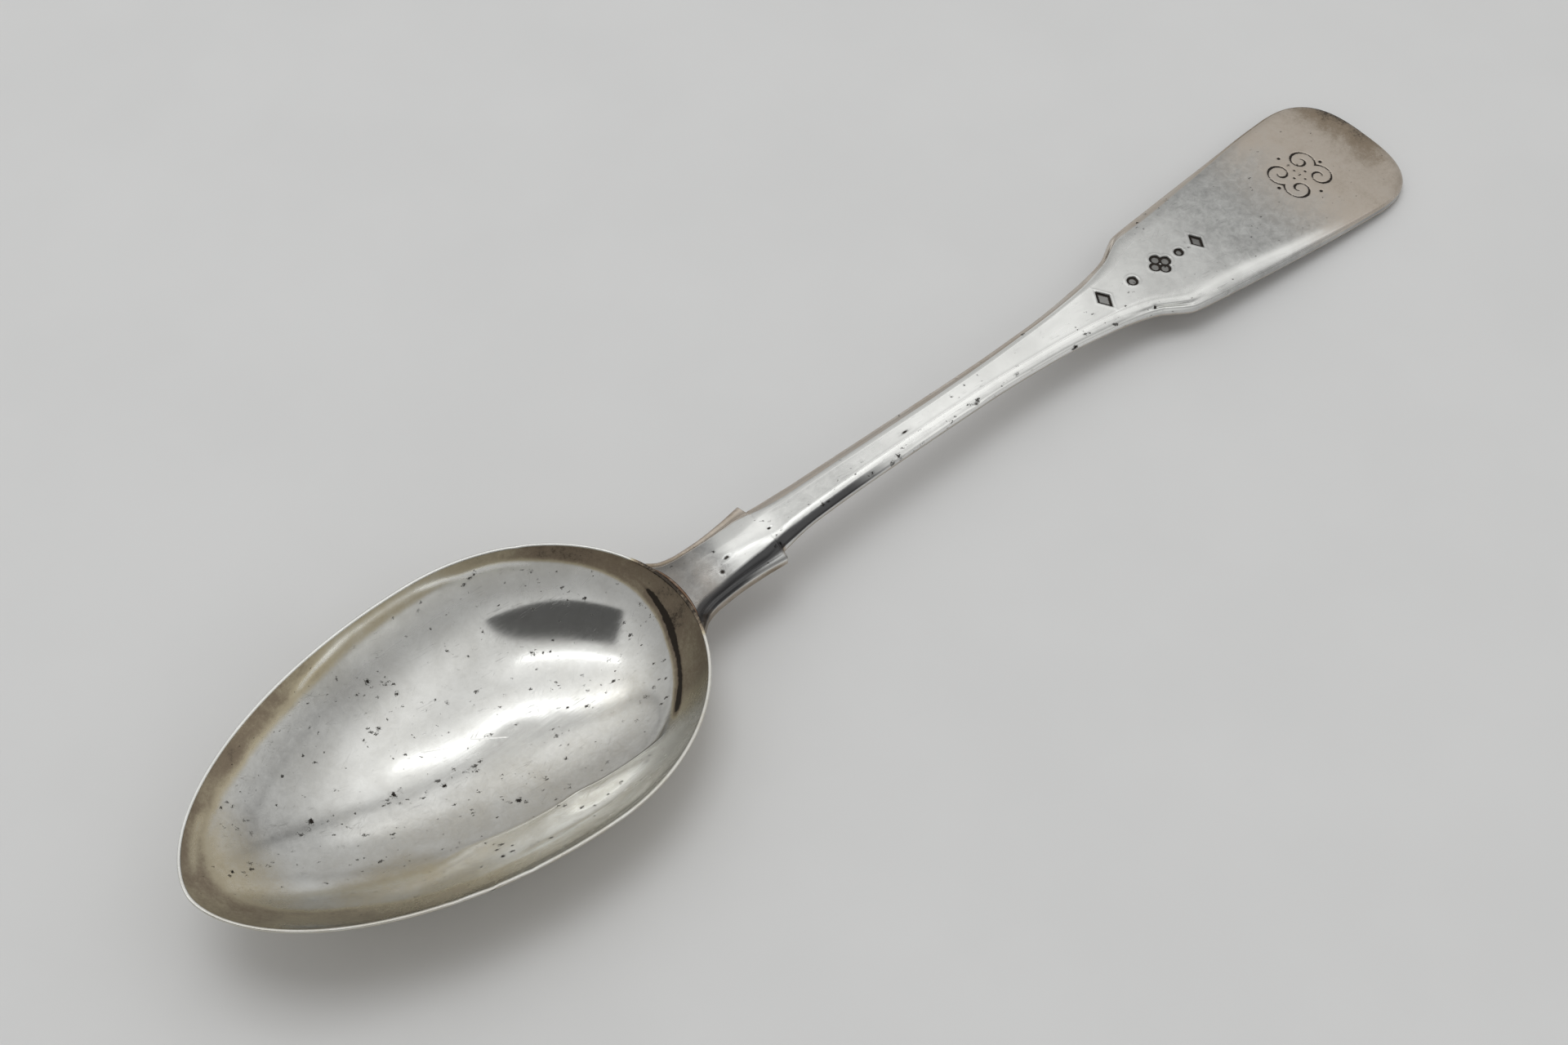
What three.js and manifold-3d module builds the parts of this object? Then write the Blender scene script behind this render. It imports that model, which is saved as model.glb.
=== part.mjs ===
// Fiddle-pattern tablespoon in silver: a raised bowl, a forged handle and a heel drop, soldered together.
// Millimetres, +Z up. X runs from the bowl's tip to the handle's end, and the spoon rests on z = 0.
import * as THREE from 'three';
import { mergeVertices } from 'three/addons/utils/BufferGeometryUtils.js';
import Module from 'manifold-3d';

const wasm = await Module();
wasm.setup();

// Whole spoon
const LENGTH = 222;
const ORIGIN_FROM_TIP = LENGTH / 2;

// Bowl: an egg-shaped dish, half an ellipse at the heel and a slightly pointed half at the tip
const BOWL_LENGTH = 77;
const BOWL_WIDTH = 47.2;
const WIDEST_FROM_TIP = 48.5;
const TIP_SINE_POWER = 1.12;
const RIM_HEIGHT_AT_TIP = 19.2;
const RIM_HEIGHT_AT_HEEL = 11;
const RIM_SAG = 0.8;
const RIM_WIDTH = 1;
const RIM_CROWN = 0.12;
const BOWL_FLOOR = 1;
const WORN_FLAT_SHARE = 0.12;
const WALL_POWER = 7;
const STEEP_SHARE_AT_TIP = 0.2;
const STEEP_SHARE_AT_HEEL = 0.5;
const BOWL_SEGMENTS = 72;
const BOWL_RING_SHARES = [WORN_FLAT_SHARE, 0.25, 0.38, 0.5, 0.6, 0.69, 0.77, 0.84, 0.9, 0.95, 1];

// Handle: each curve is a list of [distance from the bowl's tip, size]
const NECK_HALF_WIDTH = [[72, 8.6], [76, 6.95], [78, 5.6], [80.5, 5.05], [84, 4.9], [88, 5.1], [92.3, 5.6]];
const STEM_HALF_WIDTH = [
  [92.3, 4], [96, 3.65], [100, 3.38], [112, 3.16], [124, 3.1], [133, 3.1], [147, 3.57], [159, 4.9],
  [164, 5.85], [166.5, 6.6], [168.4, 7.6], [170, 8.5], [171.5, 9.15], [173.5, 9.45], [181, 10.25],
  [195, 11.6], [205, 12.45], [211, 12.8],
];
const TOP_HEIGHT = [
  [72, 11], [77, 11.02], [84, 11.15], [92, 11.3], [104, 11.1], [117, 10.5], [134, 9.6], [147, 8.75],
  [159, 7.85], [165, 7.3], [172, 6.5], [181, 5.6], [195, 4.25], [205, 3.4], [213, 2.65], [218, 2.1],
  [222, 1.8],
];
const THICKNESS = [
  [72, 4.3], [84, 4.1], [92, 3.7], [100, 3.1], [134, 2.9], [172, 2.6], [195, 2.3], [205, 2.15], [222, 2.1],
];
const TOP_CROWN = [[72, 0.1], [82, 0.25], [94, 0.05], [222, 0.05]];
const FLAT_SHARE = [
  [72, 0.6], [81, 0.66], [90, 0.54], [102, 0.6], [124, 0.58], [146, 0.68], [160, 0.7], [169, 0.79],
  [178, 0.77], [195, 0.87], [205, 0.93], [222, 0.95],
];
const BEVEL_DROP = [
  [72, 0.7], [84, 0.9], [92, 0.95], [100, 0.6], [113, 0.8], [134, 0.88], [159, 0.95], [172, 1], [195, 0.9],
  [213, 0.55], [222, 0.5],
];
const SIDE_HEIGHT = [
  [72, 2], [92, 1.5], [98, 0.65], [134, 0.65], [159, 0.7], [172, 1.2], [195, 1.1], [222, 0.9],
];
const FLAT_BACK_SHARE = [[72, 0], [145, 0.1], [176, 1], [222, 1]];
const NOTCH_FROM_TIP = 92.3;
const NOTCH_SLANT = 0.1;
const END_ARC_START = 211;
const END_ARC_POWER = 2.8;
const END_ARC_STEPS = 10;
const END_ARC_LAST_TURN = 0.475 * Math.PI;
// Sections are spaced evenly within each span: [from, to, count]
const STATION_SPANS = [
  [72, 82, 7], [82, 92.2, 4], [92.4, 100, 4], [100, 148, 8], [148, 164, 5], [164, 174, 11], [174, 211, 8],
];
const END_TRIM = 0.01;

// Shares that shape a section: of a half-width across, and of the way down
const CROWN_SHOULDER = [0.5, 0.75];
const BEVEL_MIDDLE = [0.55, 0.45];
const ROUND_BACK = [[0.88, 0.5], [0.62, 0.88], [0.3, 1]];
const FLAT_BACK = [[0.965, 0.7], [0.9, 1], [0.5, 1]];

// Joint between the neck, the bowl and the drop
const JOINT_CLEARANCE = 0.08;
const NECK_SOLDER_FILM = 0.24;
const DROP_SOLDER_FILM = 0.14;
const DROP_THICKNESS = 1.4;
const DROP_HALF_WIDTH = 4.4;
const DROP_TIP_FROM_TIP = 67;
const DROP_ROOT_FROM_TIP = 79;
const DROP_TOP = 10;
const DROP_BOTTOM = -3;
const DROP_ARC_STEPS = 10;
const DROP_TO_NECK_GAP = 0.3;
const CUTTER_HEADROOM = 8;
const MERGE_TOLERANCE = 1e-4;

const silver = new THREE.MeshStandardMaterial({ color: 0xc9c8c4, roughness: 0.24, metalness: 1 });
const solder = new THREE.MeshStandardMaterial({ color: 0x9c7b5e, roughness: 0.45, metalness: 1 });

const mix = THREE.MathUtils.lerp;

// A smooth curve through the stations that never swings past them
function curveThrough(stations) {
  const slopes = stations.slice(1).map(([s, value], i) => (value - stations[i][1]) / (s - stations[i][0]));
  const tangents = stations.map((_, i) => {
    const before = slopes[Math.max(i - 1, 0)];
    const after = slopes[Math.min(i, slopes.length - 1)];
    return before * after > 0 ? (2 * before * after) / (before + after) : 0;
  });
  return (s) => {
    const next = stations.findIndex(([at]) => at > s);
    if (next === 0) return stations[0][1];
    if (next < 0) return stations.at(-1)[1];
    const i = next - 1;
    const span = stations[next][0] - stations[i][0];
    const u = (s - stations[i][0]) / span;
    const eased = u * u * (3 - 2 * u);
    const bend = u * (1 - u) * span * ((1 - u) * tangents[i] - u * tangents[next]);
    return mix(stations[i][1], stations[next][1], eased) + bend;
  };
}

// A closed body through rings of equal length, with a fan over the first and the last ring
function closedLoft(rings) {
  const count = rings[0].length;
  const points = rings.flat();
  const middle = (ring) => ring.reduce((sum, p) => sum.add(p), new THREE.Vector3()).divideScalar(count);
  const first = points.push(middle(rings[0])) - 1;
  const last = points.push(middle(rings.at(-1))) - 1;
  const lastRing = (rings.length - 1) * count;
  const faces = [];
  for (let j = 0; j < count; j++) {
    const k = (j + 1) % count;
    faces.push(first, k, j, last, lastRing + j, lastRing + k);
    for (let i = 0; i < lastRing; i += count) {
      faces.push(i + j, i + k, i + count + k, i + j, i + count + k, i + count + j);
    }
  }
  const geometry = new THREE.BufferGeometry().setFromPoints(points);
  geometry.setIndex(faces);
  return geometry;
}

// A boolean solid from a closed geometry, and a geometry back from a solid
function solidOf(geometry) {
  const bare = geometry.clone();
  bare.deleteAttribute('normal');
  bare.deleteAttribute('uv');
  const merged = mergeVertices(bare, MERGE_TOLERANCE);
  const vertProperties = new Float32Array(merged.attributes.position.array);
  const triVerts = new Uint32Array(merged.index.array);
  return new wasm.Manifold(new wasm.Mesh({ numProp: 3, vertProperties, triVerts }));
}

function geometryOf(solid) {
  const { vertProperties, triVerts } = solid.getMesh();
  const geometry = new THREE.BufferGeometry();
  geometry.setAttribute('position', new THREE.BufferAttribute(vertProperties, 3));
  geometry.setIndex(new THREE.BufferAttribute(triVerts, 1));
  return geometry;
}

// Bowl surfaces. A surface lies inside the outer one by inset at the rim and is raised by floor below.
function rimHeight(fromTip) {
  const t = fromTip / BOWL_LENGTH;
  return mix(RIM_HEIGHT_AT_TIP, RIM_HEIGHT_AT_HEEL, t) - RIM_SAG * 4 * t * (1 - t);
}

function bowlPoint(share, turn, inset, floor) {
  const towardsHeel = Math.cos(turn) > 0;
  const reach = (towardsHeel ? BOWL_LENGTH - WIDEST_FROM_TIP : WIDEST_FROM_TIP) - inset;
  const sine = Math.sin(turn);
  const across = Math.sign(sine) * Math.abs(sine) ** (towardsHeel ? 1 : TIP_SINE_POWER);
  const rimFromTip = WIDEST_FROM_TIP + reach * Math.cos(turn);
  const climb = Math.max(0, share - WORN_FLAT_SHARE) / (1 - WORN_FLAT_SHARE);
  const steep = mix(STEEP_SHARE_AT_TIP, STEEP_SHARE_AT_HEEL, (1 + Math.cos(turn)) / 2);
  const lift = (1 - steep) * climb ** 2 + steep * climb ** WALL_POWER;
  return new THREE.Vector3(
    mix(WIDEST_FROM_TIP, rimFromTip, share) - ORIGIN_FROM_TIP,
    share * across * (BOWL_WIDTH / 2 - inset),
    mix(floor, rimHeight(rimFromTip), lift),
  );
}

function bowlRing(share, inset, floor, raise = 0) {
  return Array.from({ length: BOWL_SEGMENTS }, (_, i) => {
    const point = bowlPoint(share, (i / BOWL_SEGMENTS) * 2 * Math.PI, inset, floor);
    point.z += raise;
    return point;
  });
}

function bowlGeometry() {
  const outside = BOWL_RING_SHARES.map((share) => bowlRing(share, 0, 0));
  const crown = bowlRing(1, RIM_WIDTH / 2, 0, RIM_CROWN);
  const inside = BOWL_RING_SHARES.map((share) => bowlRing(share, RIM_WIDTH, BOWL_FLOOR));
  return closedLoft([...outside, crown, ...inside.reverse()]);
}

// The space that the bowl takes up with a margin all round its outside, filled and carried up past the rim
function bowlSpace(margin) {
  const outside = BOWL_RING_SHARES.map((share) => bowlRing(share, -margin, -margin));
  return solidOf(closedLoft([...outside, bowlRing(1, -margin, -margin, CUTTER_HEADROOM)]));
}

// Handle sections
const neckHalfWidth = curveThrough(NECK_HALF_WIDTH);
const stemHalfWidth = curveThrough(STEM_HALF_WIDTH);
const topHeight = curveThrough(TOP_HEIGHT);
const thickness = curveThrough(THICKNESS);
const topCrown = curveThrough(TOP_CROWN);
const flatShare = curveThrough(FLAT_SHARE);
const bevelDrop = curveThrough(BEVEL_DROP);
const sideHeight = curveThrough(SIDE_HEIGHT);
const flatBackShare = curveThrough(FLAT_BACK_SHARE);

function handleHalfWidth(s) {
  if (s < NOTCH_FROM_TIP) return neckHalfWidth(s);
  if (s < END_ARC_START) return stemHalfWidth(s);
  const along = (s - END_ARC_START) / (LENGTH - END_ARC_START);
  return stemHalfWidth(END_ARC_START) * (1 - along ** END_ARC_POWER) ** (1 / END_ARC_POWER);
}

// One closed section: a crowned flat, bevels, upright sides and a back that is round on the stem
function handleRing(s, margin = 0) {
  const half = handleHalfWidth(s) + margin;
  const top = topHeight(s);
  const flat = half * flatShare(s);
  const edge = top - bevelDrop(s);
  const sideFoot = edge - sideHeight(s);
  const back = Math.max(0, top - thickness(s)) - margin;
  const flatBack = flatBackShare(s);
  const belly = ROUND_BACK.map(([across, down], i) => [
    half * mix(across, FLAT_BACK[i][0], flatBack),
    mix(sideFoot, back, mix(down, FLAT_BACK[i][1], flatBack)),
  ]);
  const side = [
    [CROWN_SHOULDER[0] * flat, top + CROWN_SHOULDER[1] * topCrown(s)],
    [flat, top],
    [mix(flat, half, BEVEL_MIDDLE[0]), mix(top, edge, BEVEL_MIDDLE[1])],
    [half, edge],
    [half, sideFoot],
    ...belly,
  ];
  const section = [
    [0, top + topCrown(s)],
    ...side.map(([y, z]) => [-y, z]),
    [0, back],
    ...side.reverse(),
  ];
  return section.map(([y, z]) => new THREE.Vector3(s - ORIGIN_FROM_TIP, y, z));
}

function handleStations() {
  const even = STATION_SPANS.flatMap(([from, to, count]) =>
    Array.from({ length: count }, (_, i) => mix(from, to, i / count)));
  const notch = [NOTCH_FROM_TIP - NOTCH_SLANT, NOTCH_FROM_TIP + NOTCH_SLANT];
  const endArc = Array.from({ length: END_ARC_STEPS }, (_, i) =>
    mix(END_ARC_START, LENGTH, Math.sin((END_ARC_LAST_TURN * i) / (END_ARC_STEPS - 1))));
  const stations = new Set([...even, ...notch, ...endArc, LENGTH - END_TRIM]);
  return [...stations].sort((a, b) => a - b);
}

function handleBlank(margin = 0) {
  return solidOf(closedLoft(handleStations().map((s) => handleRing(s, margin))));
}

// The drop's plan: straight sides under the neck and a round end towards the bowl's middle
function dropColumn() {
  const plan = new THREE.Shape();
  const arcCentre = DROP_TIP_FROM_TIP + DROP_HALF_WIDTH - ORIGIN_FROM_TIP;
  plan.moveTo(DROP_ROOT_FROM_TIP - ORIGIN_FROM_TIP, DROP_HALF_WIDTH);
  plan.absarc(arcCentre, 0, DROP_HALF_WIDTH, Math.PI / 2, -Math.PI / 2, false);
  plan.lineTo(DROP_ROOT_FROM_TIP - ORIGIN_FROM_TIP, -DROP_HALF_WIDTH);
  plan.closePath();
  const depth = DROP_TOP - DROP_BOTTOM;
  const options = { depth, bevelEnabled: false, curveSegments: DROP_ARC_STEPS };
  const column = new THREE.ExtrudeGeometry(plan, options);
  column.translate(0, 0, DROP_BOTTOM);
  return solidOf(column);
}

const neckSolderOuter = JOINT_CLEARANCE + NECK_SOLDER_FILM;
const dropSolderOuter = JOINT_CLEARANCE + DROP_SOLDER_FILM;
const neckGap = neckSolderOuter + JOINT_CLEARANCE;
const dropGap = dropSolderOuter + JOINT_CLEARANCE;

const handleSolid = handleBlank();
const neckKeepOut = handleBlank(DROP_TO_NECK_GAP);
const dropSolid = dropColumn();
const clearanceSpace = bowlSpace(JOINT_CLEARANCE);

const handleGeometry = geometryOf(handleSolid.subtract(bowlSpace(neckGap)));
const neckSolderGeometry = geometryOf(
  handleSolid.intersect(bowlSpace(neckSolderOuter)).subtract(clearanceSpace),
);
const dropOuter = bowlSpace(dropGap + DROP_THICKNESS);
const heelDropGeometry = geometryOf(
  dropSolid.intersect(dropOuter).subtract(bowlSpace(dropGap)).subtract(neckKeepOut),
);
const dropSolderGeometry = geometryOf(
  dropSolid.intersect(bowlSpace(dropSolderOuter)).subtract(clearanceSpace).subtract(neckKeepOut),
);

const tablespoon = new THREE.Group();
const pieces = [
  ['bowl', bowlGeometry(), silver],
  ['handle', handleGeometry, silver],
  ['heel_drop', heelDropGeometry, silver],
  ['neck_solder', neckSolderGeometry, solder],
  ['drop_solder', dropSolderGeometry, solder],
];
for (const [name, geometry, material] of pieces) {
  const mesh = new THREE.Mesh(geometry, material);
  mesh.name = name;
  tablespoon.add(mesh);
}

export default tablespoon;
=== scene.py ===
"""Worn silver tablespoon of the fiddle pattern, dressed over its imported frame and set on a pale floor."""
import math

import bmesh
import bpy
import numpy as np
from bpy.props import FloatProperty, FloatVectorProperty, IntProperty, PointerProperty
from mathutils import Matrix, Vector, noise


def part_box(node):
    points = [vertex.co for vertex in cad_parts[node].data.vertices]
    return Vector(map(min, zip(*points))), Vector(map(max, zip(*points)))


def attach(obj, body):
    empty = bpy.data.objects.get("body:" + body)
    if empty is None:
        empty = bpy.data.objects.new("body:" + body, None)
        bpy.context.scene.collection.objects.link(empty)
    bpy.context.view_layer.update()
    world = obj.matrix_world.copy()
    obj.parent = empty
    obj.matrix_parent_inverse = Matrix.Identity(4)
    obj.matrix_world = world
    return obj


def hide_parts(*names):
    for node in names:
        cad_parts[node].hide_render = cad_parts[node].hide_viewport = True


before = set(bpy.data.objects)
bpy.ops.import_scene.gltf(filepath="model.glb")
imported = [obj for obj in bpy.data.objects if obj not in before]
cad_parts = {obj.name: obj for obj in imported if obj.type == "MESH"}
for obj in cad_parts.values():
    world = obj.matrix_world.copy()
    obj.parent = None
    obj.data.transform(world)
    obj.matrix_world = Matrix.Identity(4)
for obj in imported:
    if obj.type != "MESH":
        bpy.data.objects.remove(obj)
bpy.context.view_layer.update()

bl_info = {
    "name": "Fiddle-Pattern Tablespoon",
    "version": (1, 0, 0),
    "blender": (4, 5, 0),
    "location": "3D View > Sidebar > Tablespoon",
    "description": "Builds a worn silver tablespoon, with its bowl, handle, heel drop and solder, on a stage",
    "category": "Add Mesh",
}

# Shapes are worked out in millimetres along the spoon, measured from the bowl's tip, and stored in metres
MM = 0.001
BOWL_LOW, BOWL_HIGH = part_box("bowl")
HANDLE_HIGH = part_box("handle")[1]
TIP_X = BOWL_LOW.x / MM
LENGTH = (HANDLE_HIGH.x - BOWL_LOW.x) / MM
BOWL_LENGTH = (BOWL_HIGH.x - BOWL_LOW.x) / MM
BOWL_HALF_WIDTH = BOWL_HIGH.y / MM
RIM_CROWN = 0.072
RIM_HEIGHT_AT_TIP = 19.2
RIM_HEIGHT_AT_HEEL = 11.0
RIM_SAG = 0.8
WIDEST_FROM_TIP = 48.5
TIP_SINE_POWER = 1.12
WORN_FLAT_SHARE = 0.12
WALL_POWER = 7
STEEP_SHARE_AT_TIP = 0.2
STEEP_SHARE_AT_HEEL = 0.5

# Handle curves: each is a list of (distance from the bowl's tip, size)
NECK_HALF_WIDTH = [(72, 8.6), (76, 6.95), (78, 5.6), (80.5, 5.05), (84, 4.9), (88, 5.1), (92.3, 5.6)]
STEM_HALF_WIDTH = [
    (92.3, 4), (96, 3.65), (100, 3.38), (112, 3.16), (124, 3.1), (133, 3.1), (147, 3.57), (159, 4.9),
    (164, 5.85), (166.5, 6.6), (168.4, 7.6), (170, 8.5), (171.5, 9.15), (173.5, 9.45), (181, 10.25),
    (195, 11.6), (205, 12.45), (211, 12.8),
]
TOP_HEIGHT = [
    (72, 11), (77, 11.02), (84, 11.15), (92, 11.3), (104, 11.1), (117, 10.5), (134, 9.6), (147, 8.75),
    (159, 7.85), (165, 7.3), (172, 6.5), (181, 5.6), (195, 4.25), (205, 3.4), (213, 2.65), (218, 2.1),
    (222, 1.8),
]
THICKNESS = [
    (72, 4.3), (84, 4.1), (92, 3.7), (100, 3.1), (134, 2.9), (172, 2.6), (195, 2.3), (205, 2.15), (222, 2.1),
]
TOP_CROWN = [(72, 0.15), (79, 0.3), (86, 0.45), (96, 0.05), (222, 0.05)]
FLAT_SHARE = [
    (72, 0.6), (81, 0.66), (90, 0.52), (102, 0.53), (124, 0.52), (146, 0.64), (160, 0.7), (169, 0.79),
    (178, 0.77), (195, 0.87), (205, 0.93), (222, 0.95),
]
BEVEL_DROP = [
    (72, 0.7), (84, 0.9), (91.9, 0.95), (93, 0.65), (100, 0.45), (113, 0.45), (134, 0.55), (159, 0.85),
    (172, 1), (195, 0.9), (213, 0.55), (222, 0.5),
]
SIDE_HEIGHT = [(72, 2), (92, 1.5), (98, 0.65), (134, 0.65), (159, 0.7), (172, 1.2), (195, 1.1), (222, 0.9)]
FLAT_BACK_SHARE = [(72, 0), (145, 0.1), (176, 1), (222, 1)]
BEVEL_BULGE = [
    (72, -0.25), (86, -0.35), (92, -0.3), (93, 0), (98, 0.1), (158, 0.1), (165, -0.15), (168.5, -0.7),
    (172.5, -0.1), (178, 0.1), (222, 0.1),
]
CORNER_REACH = [(72, 1.7), (87, 1.6), (95, 0.55), (104, 0.4), (156, 0.4), (172, 1.4), (222, 1.2)]
NOTCH = 92.3
NOTCH_BLEND = 0.16
NOTCH_FLAT_BLEND = (86, 97)
END_ARC_START = 211.0
END_ARC_POWER = 2.8
ROUND_BACK_POWER = 0.87
FLAT_BACK_POWER = 0.2

# Ridge along the stem's flat and rounding of the handle's corners and edges
RIDGE_HEIGHT = 0.055
RIDGE_REACH = 0.3
RIDGE_ENDS = ((92, 97), (166, 156))
CORNER_FLAT_SHARE = 0.8
CORNER_BEVEL_SHARE = 0.45
EDGE_REACH = 0.4
EDGE_BEVEL_SHARE = 0.3
EDGE_SIDE_SHARE = 0.4

# Half a section of the handle runs from the middle of the top to the middle of the back, in six zones
TOP_INNER_STEPS = 34
TOP_OUTER_STEPS = 6
CORNER_STEPS = 6
BEVEL_STEPS = 6
SIDE_STEPS = 3
BELLY_STEPS = 16
TOP_INNER_SHARE = 0.5
TOP_SHARES = np.concatenate([
    np.linspace(0, TOP_INNER_SHARE, TOP_INNER_STEPS, endpoint=False),
    np.linspace(TOP_INNER_SHARE, 1, TOP_OUTER_STEPS, endpoint=False),
])
CORNER_SHARES = np.linspace(0, 1, CORNER_STEPS, endpoint=False)
BEVEL_SHARES = np.linspace(0, 1, BEVEL_STEPS, endpoint=False)
SIDE_SHARES = np.linspace(0, 1, SIDE_STEPS, endpoint=False)
BELLY_TURNS = np.linspace(0, math.pi / 2, BELLY_STEPS)
ZONE_COUNTS = [len(TOP_SHARES), CORNER_STEPS, BEVEL_STEPS, CORNER_STEPS, SIDE_STEPS, BELLY_STEPS]
ZONE_STARTS = np.cumsum([0] + ZONE_COUNTS)
HALF_COLUMNS = int(ZONE_STARTS[-1])
TOP_ZONE, FLAT_CORNER_ZONE, BEVEL_ZONE, EDGE_ZONE, SIDE_ZONE, BELLY_ZONE = range(len(ZONE_COUNTS))
COLUMN_ZONES = np.repeat(range(len(ZONE_COUNTS)), ZONE_COUNTS)

# Joint between the neck, the bowl and the drop, and how often a search for its places halves its range
HALVINGS = 40
NECK_LOFT_END = 84
LAST_NECK_START = 81.0
NECK_MARGIN = 0.3
SOLDER_MARGIN = 0.06
UNDER_NECK_START = (70, 74.5)
UNDER_NECK_EDGE = (8.6, 6.4)
DROP_MARGIN = 0.26
DROP_THICKNESS = 1.38
DROP_HALF_WIDTH = 4.4
DROP_TIP_FROM_TIP = 67
DROP_TIP_ROUND = 2.4
DROP_TOP_HEIGHT = 6.42
DROP_ROWS = 44
DROP_COLUMNS = 40
DROP_CROWDING = 1.2
DROP_EDGE_POWER = 4
SLOPE_STEP = 0.02

# Struck and engraved work on the handle's face: each punch has a shape, a distance from the tip and a size
PUNCHES = [
    ("lozenge", 160.3, 1.55), ("pellet", 166.6, 1.2), ("quatrefoil", 172.8, 2.2), ("pellet", 177, 1.05),
    ("lozenge", 181, 1.35),
]
LOZENGE_SLOPES = (1.25, 0.8)
LOZENGE_SCALE = 0.7
PELLET_SHARE = 0.75
LOBE_SHARE = 0.42
LOBE_PLACE = 0.5
PUNCH_DEPTH = 0.3
PUNCH_SOFTNESS = 0.16
PUNCH_BURR = 0.05
PUNCH_BURR_PLACE = 0.3
ORNAMENT_PLACE = 205.5
ORNAMENT_REACH = 6.2
SCROLL_CENTRE = (2.4, 2.1)
SCROLL_TURNS = 1.45
SCROLL_EYE = 0.5
SCROLL_TIGHTENING = 0.75
SCROLL_STEPS = 220
ENGRAVED_LINE = (0.07, 0.2)
ENGRAVED_DEPTH = 0.12
ENGRAVED_SOFTNESS = 0.06
ENGRAVED_PELLETS = [((5.0, 0), 0.3), ((0, 4.6), 0.26), ((1.3, 0), 0.2), ((0, 1.2), 0.18)]

# Long scratches across the dish: their middle from the tip and across, their angle and their length
SCRATCHES = [((38.9, 6.1), -0.42, 5.2), ((45.6, 3.3), -0.62, 6.0)]
SCRATCH_FADE = (0.3, 0.5)
SCRATCH_WIDTH = (0.05, 0.12)

# Noises in the metal, by cells in a millimetre, detail, roughness and distortion
CLOUD = (0.14, 5, 0.62, 0.4)
GRAIN = (1.7, 4, 0.65)
FLECK = (5.5, 3, 0.7)
SCUFF = (0.75, 6, 0.72, 0.6)
STREAK = (1.0, 4, 0.6, 0.3)
STREAK_STRETCH = (0.12, 2.6, 2.6)
SOLDER_GRAIN = (1.2, 4, 0.6)

# Fine rubbed lines: their angle and spread, and how they wander
HAIRLINES = [(0.12, 0.16), (-0.55, 0.3)]
HAIRLINE_STRETCH = (0.06, 1.1, 0.4)
HAIRLINE_WANDER = (1.0, 2, 0.5)
HAIRLINE_PLACES = (0.35, 2, 0.6)
HAIRLINE_WIDTH = 0.014

# Pits: cells in a millimetre, rarity and radius, and how they crowd and fray
COARSE_PITS = (0.8, 0.87, 0.31)
FINE_PITS = (1.7, 0.74, 0.16)
FINE_PIT_SHARE = 0.85
PIT_RAKE_ANGLE = 0.3
PIT_RAKE = (0.65, 1.4, 1)
PIT_JITTER = {"Scale": 3.4, "Detail": 3.0, "Roughness": 0.7}
PIT_SHAKE = (0.8, 0.8, 0.8)
PIT_CROWD = (0.2, 2, 0.6)
PIT_CROWD_RANGE = (0.35, 0.68, 0.45, 1.35)
PIT_CLUSTER = (0.55, 2, 0.5)
PIT_CLUSTER_RANGE = (0.46, 0.64, 0.35, 1.7)
PIT_FRAY = (7.0, 2, 0.6)
PIT_FRAY_RANGE = (0.3, 0.7, 0.5, 1.6)
PIT_SHARPNESS = 18.0

# How the tarnish turns from film to brown to black, and how it is mottled
PATCH_RANGE = (0.25, 0.75, 0.72, 1.2)
SPECKLE = 0.9
GRAIN_SHARE = 0.6
FLECK_SHARE = 0.4
FILM_STEP = (0.02, 0.4)
BROWN_STEP = (0.3, 0.75)
BLACK_STEP = (0.75, 1.05)
CAVITY_STEP = (0.15, 0.6)
SOLDER_WORN_STEP = (0.2, 0.8)
SOLDER_WORN_SWING = 0.8

# How the noises and marks change the veil and the roughness, and how deep they look
CLOUD_VEIL = (0.3, 0.7, -0.08, 0.08)
SCUFF_VEIL = 1.15
HAIRLINE_VEIL = 0.25
CLOUD_ROUGHNESS = 0.14
STREAK_ROUGHNESS = 0.1
HAIRLINE_ROUGHNESS = 0.16
SCRATCH_ROUGHNESS = 0.2
TARNISH_ROUGHNESS = 0.16
PIT_ROUGHNESS = 0.4
LEAST_ROUGHNESS = 0.06
SOLDER_ROUGHNESS = 0.42
STREAK_BUMP = {"Strength": 0.22, "Distance": 0.00001}
PIT_BUMP = {"Strength": 0.8, "Distance": 0.00012}
SOLDER_BUMP = {"Strength": 0.5, "Distance": 0.00005}
WARM_GREY = (1, 0.998, 0.985)

# How close in millimetres points are welded, and how far one seed of the waviness lies from the next
WELD_TOLERANCE = 1e-5
RIPPLE_SHIFT = Vector((17.3, 5.1, 9.7))


# Small helpers
def smooth(low, high, value):
    """0 on the low side, 1 on the high side and an eased ramp between them. Low may be the larger number."""
    u = np.clip((value - low) / (high - low), 0, 1)
    return u * u * (3 - 2 * u)


def between(ends, value):
    """1 between two eased ramps and 0 outside them. The ends are the ramp up and the ramp down."""
    return smooth(*ends[0], value) * smooth(*ends[1], value)


def bump_at(value, middle, reach):
    """A rounded bump of height 1 round a middle, gone at about twice its reach."""
    return np.exp(-(((value - middle) / reach) ** 2))


def mix(a, b, share):
    """The value a share of the way from a to b."""
    return a + (b - a) * share


def signed_degrees(turn):
    """Degrees from -180 to 180 for an angle in radians."""
    return (np.degrees(turn) + 180) % 360 - 180


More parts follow.
